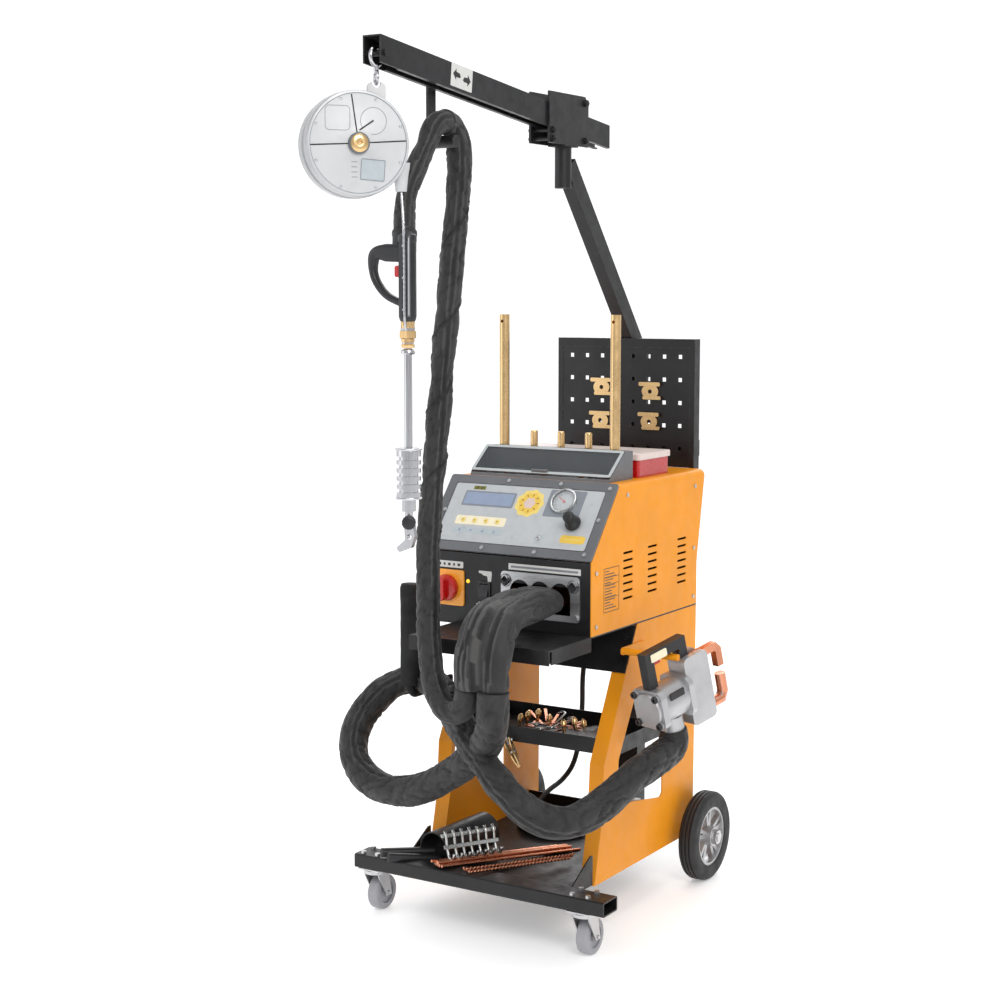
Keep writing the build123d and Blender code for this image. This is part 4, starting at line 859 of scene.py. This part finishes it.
# ------------------------------------------------------------------ control panel
mid = panel.moved(0, 95.7, 0)
slab("panel_film", mid, 364, 144, 0.4, 5, "film_white", "root", 0.1, low=2.02)
for x, wide, tint in ((-118, 126, "film_white"), (84, 190, "film_white")):
    slab(f"film_field_{wide}", mid.moved(x, 2), wide, 132, 0.12, 4, tint, "root", 0.04, low=2.42)
slab("display_rim", panel.moved(-88, 131), 128, 38, 0.5, 3, "film_grey", "root", low=2.45)
slab("display", panel.moved(-88, 131), 120, 30, 0.35, 1.5, "display", "root", 0.1, low=2.95)
slab("olive_mark", panel.moved(-121, 158), 30, 9, 0.25, 1, "film_olive", "root", 0.1, low=2.5)
for k in range(2):
    slab(f"olive_bar_{k}", panel.moved(-127 + 12 * k, 158).turned(60), 9, 2, 0.2, 0.6, "film_black",
         "root", 0.05, low=2.75)
slab("button_strip", panel.moved(-88, 76), 124, 22, 0.25, 4, "film_cream", "root", 0.1, low=2.5)
slab("lower_strip", panel.moved(-88, 51), 124, 14, 0.2, 3, "film_pale_blue", "root", 0.1, low=2.5)
for k in range(4):
    spot = panel.moved(-131 + 28.5 * k, 76, 2.7)
    lathe(f"button_{k}", spot, [(5.4, 0), (5.4, 0.9), (4.6, 1.5), (2.5, 1.9), (0.01, 2.0)],
          "film_yellow", "root", 28)
    lathe(f"button_dot_{k}", spot.moved(w=1.8), [(1.4, 0), (1.4, 0.4), (0.01, 0.5)], "film_brown",
          "root", 14)
    lathe(f"lamp_dot_{k}", panel.moved(-131 + 28.5 * k, 51, 2.6),
          [(2.6, 0), (2.5, 0.5), (1.4, 1.1), (0.01, 1.3)], "display", "root", 20)


def petals(radius, depth, count, turn=0.0):
    return [((radius + depth * math.cos(count * a)) * math.cos(a + turn),
             (radius + depth * math.cos(count * a)) * math.sin(a + turn))
            for a in (2 * math.pi * k / 96 for k in range(96))]


decal = panel.moved(14, 128)
outline_plate("decal_outer", decal, petals(33, 1.6, 9), 0.15, "film_yellow", "root", low=2.56)
outline_plate("decal_middle", decal, petals(25, 1.8, 7, 0.3), 0.12, "film_amber", "root", low=2.71)
outline_plate("decal_centre", decal, petals(13, 1.2, 6), 0.12, "film_pink", "root", low=2.83)
for k in range(9):
    a = 2 * math.pi * k / 9
    slab(f"decal_dash_{k}", decal.moved(20 * math.cos(a), 20 * math.sin(a)).turned(40 * k), 6, 2, 0.1, 0.6,
         "film_brown", "root", 0.04, low=2.83)
slab("gauge_backing", panel.moved(98, 132), 86, 66, 0.5, 3, "film_grey", "root", low=2.5)
slab("valve_label", panel.moved(146, 48), 58, 19, 0.3, 6, "film_amber", "root", 0.1, low=2.5)
slab("valve_label_line", panel.moved(146, 48), 40, 2, 0.1, 0.8, "film_yellow", "root", 0.04, low=2.8)
ring("socket_ring", panel.moved(66, 44), 7, 10, 2.4, 3.0, "film_pale_blue", "root")
lathe("socket_nut", panel.moved(66, 44, 2.4), [(5.5, 0), (5.5, 1.6), (4.9, 2.0), (2.4, 2.0), (2.2, 0.4),
                                              (0.01, 0.3)], "zinc_steel", "root", 24)

gauge = panel.moved(95, 137)
lathe("gauge_dial", gauge, [(24.9, 3.02), (24.9, 3.3), (0.01, 3.3)], "film_grey_light", "root", 48)
for k in range(25):
    a = 210 - 240 * k / 24
    tick = gauge.turned(a)
    major = k % 4 == 0
    slab(f"gauge_tick_{k}", tick.moved(20.5 - major, 0), 5 if major else 3, 1.0 if major else 0.5, 0.1,
         0.2, "film_black", "root", 0.03, low=3.3)
lathe("gauge_bezel", gauge, [(25.2, 8.0), (25.4, 9.6), (27.0, 10.4), (29.2, 9.8), (30.0, 7.5), (30.0, 2.6),
                             (28.2, 2.6)], "zinc_bright", "root", 64, closed_profile=True)
lathe("gauge_glass", gauge, [(25.3, 8.3), (25.3, 8.9), (0.01, 9.3)], "lens", "root", 48, slot="clear_plastic")

knob = panel.moved(137, 84)
knob_rings = [ribbed_ring(knob, radius, height, rib, 18, 72) for radius, height, rib in (
    (9, 2.7, 0), (13.5, 3.4, 0), (17.5, 7.5, 0), (17.8, 10, 0), (15.6, 15.5, 0), (12.6, 19.5, 0.2),
    (11.9, 21.5, 0.45), (11.9, 35, 0.45), (11.2, 37, 0.3), (9.6, 38, 0), (0.05, 38.2, 0))]
cap = loft("regulator_cap", knob_rings, "black_plastic", "regulator", smooth=50)
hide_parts("regulator_knob")

# ------------------------------------------------------------------ lower front
slab("indicator_label", front.moved(-138, 747), 70, 14, 0.6, 2, "film_pale", "root", low=0.02)
for k in range(5):
    slab(f"indicator_mark_{k}", front.moved(-162 + 12 * k, 747), 6.5 - 2 * (k % 2), 5.5, 0.15, 0.8,
         "film_black", "root", 0.05, low=0.62)
lathe("power_lamp", front.moved(-91, 714), [(4.2, 0), (4.0, 1.4), (2.6, 3.0), (0.01, 3.6)], "lamp",
      "root", 24)
outline_plate("gun_mark", front.moved(-48, 729),
              [(-16, 10), (15, 10), (16, 4), (14, -12), (6, -12), (5, -1), (-6, 1), (-9, 4), (-16, 5)],
              0.25, "film_pale", "root", low=0.02)
clamp_mark = front.moved(-48, 667)
ring("clamp_mark_ring", clamp_mark.moved(2, -1), 4.2, 7.6, 0.02, 0.3, "film_pale", "root", 24)
ring("clamp_mark_hook", clamp_mark.moved(16, -1), 3.0, 6.4, 0.02, 0.3, "film_pale", "root", 24)
for k, (u, v, wide, high, turn) in enumerate(((-15, 1, 16, 2.2, 0), (-16, 0, 2.2, 13, 0), (-8, -3, 8, 7, 20),
                                              (9, 5, 12, 3, -25), (23, -4, 6, 6, 40))):
    slab(f"clamp_mark_{k}", clamp_mark.moved(u, v).turned(turn), wide, high, 0.25, 0.8, "film_pale", "root",
         0.05, low=0.02)
slab("strip_label", front.moved(95, 754), 172, 13, 0.5, 1.2, "film_pale", "root", low=0.02)
slab("strip_line", front.moved(95, 754), 160, 4.5, 0.1, 0.6, "film_line", "root", 0.04, low=0.52)
ring_plate("rocker_bezel", front.moved(-50, 698), 30, 38, 4, 4.6, 3.2, "black_plastic", "root", low=0.02)
for k, (x, z) in enumerate(((4, 725), (165, 724))):
    slab(f"outlet_bolt_{k}", front.moved(x, z, 3).turned(45), 17, 17, 6, 1.5, "black_plastic", "root", 0.8)
    # painted shade: a flat black ring standing for the dark gap of the hole round the bolt
    ring(f"outlet_bolt_hole_shade_{k}", front.moved(x, z, 3), 12.4, 13.6, 0.02, 0.4, "film_black", "root", 32)
switch = front.moved(-139, 698)
for k in range(28):
    dial = switch.turned(360 * k / 28)
    slab(f"switch_rib_{k}", dial.moved(27.2, 0), 1.8, 2.4, 8, 0.8, "red_plastic", "main_switch", 0.5, low=7.6)
lathe("switch_dome", switch, [(26.8, 15.8), (26.2, 17.6), (22, 19.4), (12, 20.6), (0.01, 21)],
      "red_plastic", "main_switch", 56)

# dark sheets inside the casing, seen through the slots: painted shade standing in for the shaded interior
for side in (-1, 1):
    slab(f"louvre_shade_sheet_{side + 1}", Place((187 * side, 283, 731), (0, 1, 0), (0, 0, 1)), 344, 122, 1, 1,
         "black_foam", "root", 0.1)
slab("rear_shade_sheet", Place((70, 460, 675), (1, 0, 0), (0, 0, 1)), 176, 84, 1, 1, "black_foam", "root", 0.1)

# ------------------------------------------------------------------ printed plate on the side
plate = right_wall.moved(84, 711)
ring_plate("side_plate_rim", plate, 66, 92, 2, 1.6, 0.25, "film_umber", "root", low=0.02)
for k, v in enumerate((26, 12, -16)):
    slab(f"side_plate_rule_{k}", plate.moved(0, v), 64, 1.2, 0.2, 0.3, "film_umber", "root", 0.05, low=0.02)
for k in range(14):
    wide = 18 + 30 * abs(math.sin(k * 2.3))
    slab(f"side_plate_row_{k}", plate.moved(-28 + wide / 2, 39 - 5.9 * k), wide, 2.4, 0.15, 0.4,
         "film_umber" if k % 3 else "film_brown", "root", 0.05, low=0.05)

# ------------------------------------------------------------------ boom
label = Place((20, -190, 1727.5), (0, 1, -0.1106), (0, 0, 1))
slab("swing_label", label, 74, 44, 0.6, 1.5, "film_pale", "boom", low=0.02)
for k, side in enumerate((-1, 1)):
    arrow = [(side * u, v) for u, v in (
        (31, 0), (20, 11), (20, 5), (8, 4), (4, -2), (8, -5), (20, -5), (20, -11))]
    outline_plate(f"swing_arrow_{k}", label.moved(0, -2 * side), arrow[::side], 0.2,
                  "film_black", "boom", low=0.62)

# ------------------------------------------------------------------ balancer
drum = Place((-30 + 0.766 * 38, -472 - 0.643 * 38, 1583), (0.643, 0.766, 0), (0, 0, 1))
lathe("drum_face", drum, [(93.5, -3), (93.5, 0.8), (92, 1.6), (89.5, 1.6), (89.2, 0.5), (30, 0.5), (28, 0.9),
                          (0.01, 0.9)], "drum_silver", "boom", 96)
# painted shade: a grey ring darkening the corner inside the drum's rim
ring("drum_groove_shade", drum, 88.2, 89.8, 0.5, 1.0, "film_grey", "boom", 96)
for k, (angle, length) in enumerate(((98, 68), (183, 70), (4, 70))):
    rib = drum.turned(angle).moved(19 + length / 2, 0)
    slab(f"drum_rib_{k}", rib, length, 2.4, 0.5, 0.5, "film_black", "boom", 0.1, low=0.5)
lathe("drum_hub", drum, [(19.5, 0.4), (19.5, 7), (18, 8.6), (16.4, 9), (16.2, 7.8)], "grey_paint", "boom", 56)
lathe("drum_boss", drum, [(16.5, 7.4), (16.2, 10), (13, 12), (6, 12.6), (4.6, 12.2), (4.4, 9), (0.01, 9)],
      "brass", "boom", 48)
ring("drum_scale", drum.moved(28, 40), 23.4, 24.4, 0.5, 0.8, "film_line", "boom", 56)
slab("drum_pointer", drum.moved(15, 32).turned(34), 32, 2.6, 0.5, 0.6, "film_black", "boom", 0.1, low=0.9)
ring_plate("drum_field", drum.moved(-38, 44), 46, 44, 8, 0.9, 0.3, "film_line", "boom", low=0.5)
slab("drum_card", drum.moved(26, -47).turned(-4), 45, 38, 0.4, 2, "film_pale_blue", "boom", 0.1, low=0.5)
ring_plate("drum_card_rim", drum.moved(26, -47).turned(-4), 45, 38, 2, 1.3, 0.3, "film_grey", "boom",
           low=0.9)
for k in range(4):
    slab(f"drum_line_{k}", drum.moved(-8, -33 - 9 * k), 11, 1.1, 0.2, 0.4, "film_line", "boom", 0.05, low=0.5)
for k in range(8):
    screw_head(f"drum_screw_{k}", drum.turned(22 + 45 * k).moved(84, 0, 0.5), 2.6, "zinc_steel", "boom", 1.6)
for side in (-1, 1):
    ring(f"drum_seam_{side + 1}", drum.moved(w=-38), 93, 96.6, side * 3 - 1.2, side * 3 + 1.2,
         "drum_silver", "boom", 96)
lathe("rope_cone", Place((31, -410, 1500), (1, 0, 0), (0, 1, 0)),
      [(9.4, 0), (10.4, 1), (13.5, 30), (16, 44), (17, 52)], "drum_silver", "boom", 40, caps=False)

# ------------------------------------------------------------------ studder gun
gun_axis = Place((40, -404, 0), (1, 0, 0), (0, 1, 0))
gun_shell = loft("gun_shell", [ribbed_ring(gun_axis, r, z, q, 8, 48) for r, z, q in (
    (11.5, 1263.4, 0), (13.8, 1265, 0), (15.2, 1269, 0.4), (16.2, 1274, 0.5), (16.2, 1402, 0.5),
    (15.9, 1408, 0.3), (17.4, 1410, 0), (17.4, 1419, 0), (16.4, 1422, 0), (8.5, 1426, 0), (7.2, 1429, 0))],
    "black_plastic", "gun")
handle_line = nurbs_line("gun_handle", [
    (30, -404, 1389), (0, -404, 1390), (-32, -404, 1392), (-38, -404, 1376), (-37, -404, 1352),
    (-27, -404, 1332), (-8, -404, 1312), (14, -404, 1302), (32, -404, 1296)], 3)
handle_total = line_length(handle_line)


def handle_section(s, i, count=28):
    t = s / handle_total
    thick = 16.5 + (6.8 - 16.5) * min(1, max(0, (t - 0.2) / 0.3)) ** 0.8
    wide = 10.2 - 1.4 * t
    ring = []
    for k in range(count):
        a = 2 * math.pi * k / count
        ring.append((thick * math.copysign(abs(math.cos(a)) ** 0.7, math.cos(a)),
                     wide * math.copysign(abs(math.sin(a)) ** 0.8, math.sin(a))))
    return ring


sweep("gun_handle", handle_line, handle_section, "black_plastic", "gun", (0, 0, 1), smooth=60)
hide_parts("gun_body")
gland = Place((22, -388, 1392), (3, 2, 0), Vector((-12, 18, 36)).cross(Vector((3, 2, 0))))
lathe("gun_gland", gland, [(21, 0), (22.4, 2), (22.4, 36), (23.6, 37), (23.6, 42), (22.4, 43)],
      "black_plastic", "gun", 40, caps=False)
toward = TO_FRONT_RIGHT
toward_left = toward.cross(Vector((0, 0, 1))) * -1
strip_place = Place(Vector((40, -404, 1346)) + toward * 15.9, toward_left, (0, 0, 1))
slab("gun_rail", strip_place.moved(3, 0), 5.5, 146, 2.2, 1, "grey_paint", "gun", 0.5, low=-0.8)
slab("gun_rail_line", strip_place.moved(3, 0), 1.6, 140, 0.5, 0.6, "drum_silver", "gun", 0.1, low=1.4)
for k in range(3):
    screw_head(f"gun_screw_{k}", strip_place.moved(-7, -60 + 58 * k, -1.6), 2.4, "zinc_steel", "gun", 1.8)
chuck = [(11.4, 1215.8), (12.4, 1217), (12.4, 1222), (11.0, 1223), (11.0, 1226), (12.4, 1227), (12.4, 1232)]
lathe("chuck_brass_low", gun_axis, chuck, "brass", "gun", 32)
lathe("chuck_brass_nut", gun_axis, [(12, 1232), (16.8, 1233.5), (16.8, 1247), (12.4, 1248.5)], "brass", "gun",
      6, smooth=20)
knurl = [ribbed_ring(gun_axis, 12.4, height, 0.7, 15, 60, height / 2.2)
         for height in range(1248, 1266, 2)]
loft("chuck_knurl", knurl, "brass", "gun", smooth=70)
lathe("shaft_collar", gun_axis, [(7.6, 1203), (11.5, 1203.8), (13.4, 1206), (13.4, 1210), (11, 1213), (7.6, 1214)],
      "chrome", "gun", 40)
for k, height in enumerate((934.5, 1026.5)):
    lathe(f"weight_flange_{k}", gun_axis, [(9, height), (24.4, height), (25.4, height + 1.2),
                                           (25.4, height + 3), (24.4, height + 4), (9, height + 4)],
          "chrome", "hammer", 48)
thumb = Place(Vector((46, -412, 893)), toward_left, (0, 0, 1))
thumb_rings = [ribbed_ring(thumb, radius, height, rib, 15, 60) for radius, height, rib in (
    (5, -6, 0), (5, 2, 0), (12.4, 3, 0), (13, 4.5, 0.5), (13, 15, 0.5), (12, 17, 0.2), (8, 18, 0),
    (0.05, 18.2, 0))]
loft("thumb_knob", thumb_rings, "black_plastic", "gun", smooth=60)

# ------------------------------------------------------------------ clear-window box and accessory box
window = Place((0, 138, 932.1), (1, 0, 0), (0, 66, 52))
window_length = math.hypot(66, 52)
ring_plate("window_rim", window.moved(0, window_length / 2), 344, window_length - 2, 4, 7, 0.7,
           "film_grey_light", "window_flap", low=2.92)
slab("window_grip", window.moved(0, 7), 40, 5, 6, 1.5, "grey_paint", "window_flap", 1.2, low=2.9)
for k in range(7):
    x = -140 + 46 * k
    rod(f"spare_rod_{k}", [(x, 150, 931.8), (x + 34 - 6 * (k % 2), 186, 931.8 + 3 * (k % 2))], 3.4,
        "copper" if k % 2 else "zinc_steel", "root")
slab("spare_card_a", Place((-88, 172, 927), (1, 0, 0), (0, 1, 0)), 62, 40, 12, 2, "film_grey", "root", 0.6)
slab("spare_card_b", Place((58, 176, 927), (1, 0.1, 0), (0, 1, 0)), 88, 44, 10, 2, "film_pale_blue", "root", 0.6)

lid = Place((-6, 330, 962.0), (1, 0, 0), (0, 1, 0))
slab("box_lid", lid, 370, 150, 13.4, 7, "film_cream_light", "root", 1.6)
slab("box_lid_panel", lid.moved(w=13.4), 340, 120, 0.8, 5, "film_cream_light", "root", 0.3)
for k in (-1, 1):
    slab(f"box_latch_{k + 1}", Place((-6 + 110 * k, 255, 958), (1, 0, 0), (0, 0, 1)), 26, 18, 3.5, 2,
         "film_cream_light", "root", 0.6)

# ------------------------------------------------------------------ trays' contents
ring("puller_tube_rim", Place((-128, -74, 145), (0.993, -0.119, 0), (0, -0.03, 1)), 36.4, 39.6,
     -2, 3, "black_plastic", "root", 56)
comb_base = Place((-64, -38, 172), (0.51, 0.86, 0), (-0.3, 0.15, 0.94))
for k in (-1, 1):
    slab(f"comb_bar_{k + 1}", comb_base.moved(0, 12 * k, -3 * k), 128, 9, 4, 2, "zinc_bright", "root", 1.0)
for k in range(7):
    u = -56 + 18.6 * k
    at = comb_base.at
    rod(f"comb_finger_{k}", [at(u, 22, 2), at(u, 12, 7), at(u, 0, 5), at(u, -12, 3), at(u, -24, 4),
                             at(u, -34, 6), at(u + 1, -40, 15), at(u + 2, -36, 25), at(u + 3, -28, 27)],
        3.1, "zinc_bright", "root", 12, 3, smooth_line=True, smooth=180)
for k, (x, y, z) in enumerate(((-18, -132, 136), (-2, -138, 136))):
    wave = [(x + (118 - 12 * k) * j / 60, y + (250 - 14 * k) * j / 60,
             z + (120 - z) * j / 60 + 6.5 * math.cos(math.pi * j + k)) for j in range(61)]
    rod(f"wavy_wire_{k}", wave, 2.1, "copper", "root", 8, 1.8, smooth_line=True, smooth=180)
for k, (x, y, z, run) in enumerate((
        (-98, -131, 141.4, 330), (-80, -134.8, 141.6, 352), (-70, -135, 136.0, 366))):
    rod(f"drawing_rod_{k}", [(x, y, z), (x + run * 0.377, y + run * 0.9226, z - run * 0.0828)], 3.0, "copper",
        "root", 12)
for k, (start, end, radius) in enumerate((((-146, -52, 134), (-222, -138, 141), 9.5),
                                          ((-126, -60, 122), (-196, -150, 138.5), 9.5))):
    rod(f"black_tube_{k}", [start, end], radius, "black_plastic", "root", 28)

tray_z = 354.2
for k in range(26):
    a = k * 2.399
    x = 4 + 84 * math.cos(a) * math.sqrt((k + 1) / 26)
    y = 196 + 46 * math.sin(a) * math.sqrt((k + 1) / 26)
    spot = Place((x, y, tray_z + 12 + 2.6 * (k % 5)), (math.cos(a), math.sin(a), 0.2),
                 (-math.sin(a), math.cos(a), 0))
    if k % 4 == 0:
        ring(f"spare_washer_{k}", spot, 5, 11 + k % 3, 0, 2.2, "copper", "root", 28)
    elif k % 4 == 1:
        lathe(f"spare_tip_{k}", spot.turned(20), [(4, 0), (4, 12), (6.5, 14), (6.5, 24), (2, 30)], "brass",
              "root", 20)
    elif k % 4 == 2:
        slab(f"spare_strip_{k}", spot, 64, 7, 2, 1, "copper", "root", 0.4, low=12)
    else:
        at = spot.at
        rod(f"spare_hook_{k}", [at(-26, 0, 8), at(16, 0, 10), at(26, 4, 10), at(27, 14, 10), at(18, 18, 9)], 2.3,
            "chrome", "root", 10, 2.5, smooth_line=True, smooth=180)
bag = []
for r in range(22):
    v = r / 21
    loop_points = []
    for k in range(44):
        a = 2 * math.pi * k / 44
        spread = 1 + 0.28 * noise.noise(Vector((math.cos(a) * 1.4, math.sin(a) * 1.4, v * 3)))
        fold = 0.10 * noise.noise(Vector((math.cos(a) * 4, math.sin(a) * 4, v * 6 + 2)))
        size = (math.sin(math.pi * min(1, 0.10 + v * 0.9)) ** 0.6) * (spread + fold)
        loop_points.append((118 + 46 * size * math.cos(a), 186 + 60 * size * math.sin(a),
                            tray_z + 0.6 + 36 * v ** 1.3 + 5 * noise.noise(Vector((a, v * 4, 1)))
                            * math.sin(math.pi * v)))
    bag.append(loop_points)
loft("parts_bag", bag, "bag_film", "root", smooth=180)
rod("hanging_hook", [(-66, 108, 384), (-66, 103, 390), (-62, 99, 384), (-58, 99, 360), (-52, 101, 348),
                     (-46, 101, 352), (-46, 101, 362)], 2.6, "chrome", "root", 10, 2, smooth_line=True, smooth=180)
jaw = Place((-40, 98, 330), (0.5, 0, -0.86), (0, 1, 0))
for k, side in enumerate((-1, 1)):
    rings = []
    for u, half, off in ((-34, 3, 9), (-20, 5, 7), (0, 6.5, 5), (18, 5, 4), (34, 3, 1.5)):
        rings.append([jaw.at(u, v, side * (off + w)) for v, w in
                      ((-half, -1.2), (half, -1.2), (half, 1.2), (-half, 1.2))])
    loft(f"earth_clamp_{k}", rings, "brass", "root")
lathe("earth_clamp_pin", jaw.moved(-2, 0, -8), [(3.4, 0), (3.4, 16)], "zinc_steel", "root", 20)
rod("earth_clamp_link", [(-46, 101, 352), (-52, 98, 346), (-54, 98, 352), (-56, 98, 358)], 1.6, "zinc_steel",
    "root", 8)
slab("air_block", Place((184, 219, 220), (1, 0, 0), (0, 0.2, 1)), 34, 30, 30, 3, "film_pale", "root", 2, low=-12)

# ------------------------------------------------------------------ clamp gun
def looking(origin, across, outward):
    """A place on the clamp gun whose z points outward."""
    place = Place(origin, across, clamp_up)
    return place if place.z.dot(outward) >= 0 else Place(origin, -across, clamp_up)


cylinder = looking(clamp_origin, clamp_side, -clamp_along)
lathe("clamp_disc", cylinder, [(37, -2), (37, 4), (35.5, 6), (0.01, 6.4)], "cast_aluminium", "root", 72)
for k, (u, v) in enumerate(((-30, -30), (30, -30), (30, 30), (-30, 30))):
    spot = cylinder.moved(u, v, 4.8)
    lathe(f"clamp_bolt_{k}", spot, [(7.4, 0), (7.4, 5), (6.6, 6.2), (3.4, 6.2), (3.2, 3.2), (0.01, 3.0)],
          "black_plastic", "root", 28)
body_side = looking(clamp_point(49, 0, 41.5), clamp_along, clamp_side)
tag = looking(clamp_point(40, 100, 12.2), clamp_along, clamp_side)
slab("clamp_plate", body_side.moved(0, 22, -4.5), 40, 15, 3.4, 1.5, "film_black", "root", 0.3)
slab("clamp_tag", tag.moved(2, 6, -0.6), 46, 17, 2.2, 3, "film_cream", "root", 0.6)

rod("lower_electrode", [clamp_point(150, -58), clamp_point(205, -58), clamp_point(214, -44),
                        clamp_point(214, -4)], 11.5, "copper", "root", 20)

# ------------------------------------------------------------------ wheels
for side, tag_name in ((-1, "left"), (1, "right")):
    hub = Place((246 * side, 460, 100), (0, 1, 0), (0, 0, 1))
    profile = [(66, -19), (72, -20.5), (86, -20.8), (93, -19.6), (97.5, -16.5), (99.4, -12.5)]
    for groove in (-9, 0, 9):
        profile += [(99.9, groove - 2.6), (99.9, groove - 1.6), (97.4, groove - 1.2), (97.4, groove + 1.2),
                    (99.9, groove + 1.6), (99.9, groove + 2.6)]
    profile += [(99.4, 12.5), (97.5, 16.5), (93, 19.6), (86, 20.8), (72, 20.5), (66, 19)]
    tyre = lathe(f"{tag_name}_tread", hub, profile, "rubber", f"{tag_name}_wheel", 120, closed_profile=True,
                 smooth=50)
    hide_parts(f"{tag_name}_tyre")
    for r in (78, 83):
        for w in (-1, 1):
            ring(f"{tag_name}_bead_{r}_{w + 1}", hub.moved(w=w * 20.4), r, r + 1.1, -0.7 if w > 0 else -0.5,
                 0.5 if w > 0 else 0.7, "rubber", f"{tag_name}_wheel", 96)

# ------------------------------------------------------------------ floor
floor_material, floor_tree, floor_shader, floor_coords = new_material("floor")
floor_shader.inputs["Base Color"].default_value = (0.92, 0.92, 0.92, 1)
floor_shader.inputs["Emission Color"].default_value = (1, 1, 1, 1)
floor_shader.inputs["Emission Strength"].default_value = 0.3
floor_tree.links.new(ranged(floor_tree, noise_node(floor_tree, floor_coords, 3, 4), 0.3, 0.7, 0.55, 0.7),
                     floor_shader.inputs["Roughness"])
mats["floor"] = floor_material
sweep_rows = [(-9000, 0), (2500, 0), (4200, 60), (5200, 420), (5900, 1200), (6200, 2400), (6300, 9000)]
rows = [[(x, y, z - 0.2) for x in (-12000, 12000)] for y, z in sweep_rows]
turned = Matrix.Rotation(CAMERA_TURN, 3, "Z")
backdrop = loft("backdrop", [[turned @ Vector(p) for p in row] for row in rows], "floor", None, closed=False,
                caps=False, smooth=180)

# ------------------------------------------------------------------ finish
for name in ("board_clips", "tool_rods"):
    frame["nodes"][name].data.materials[0] = mats["brass"]
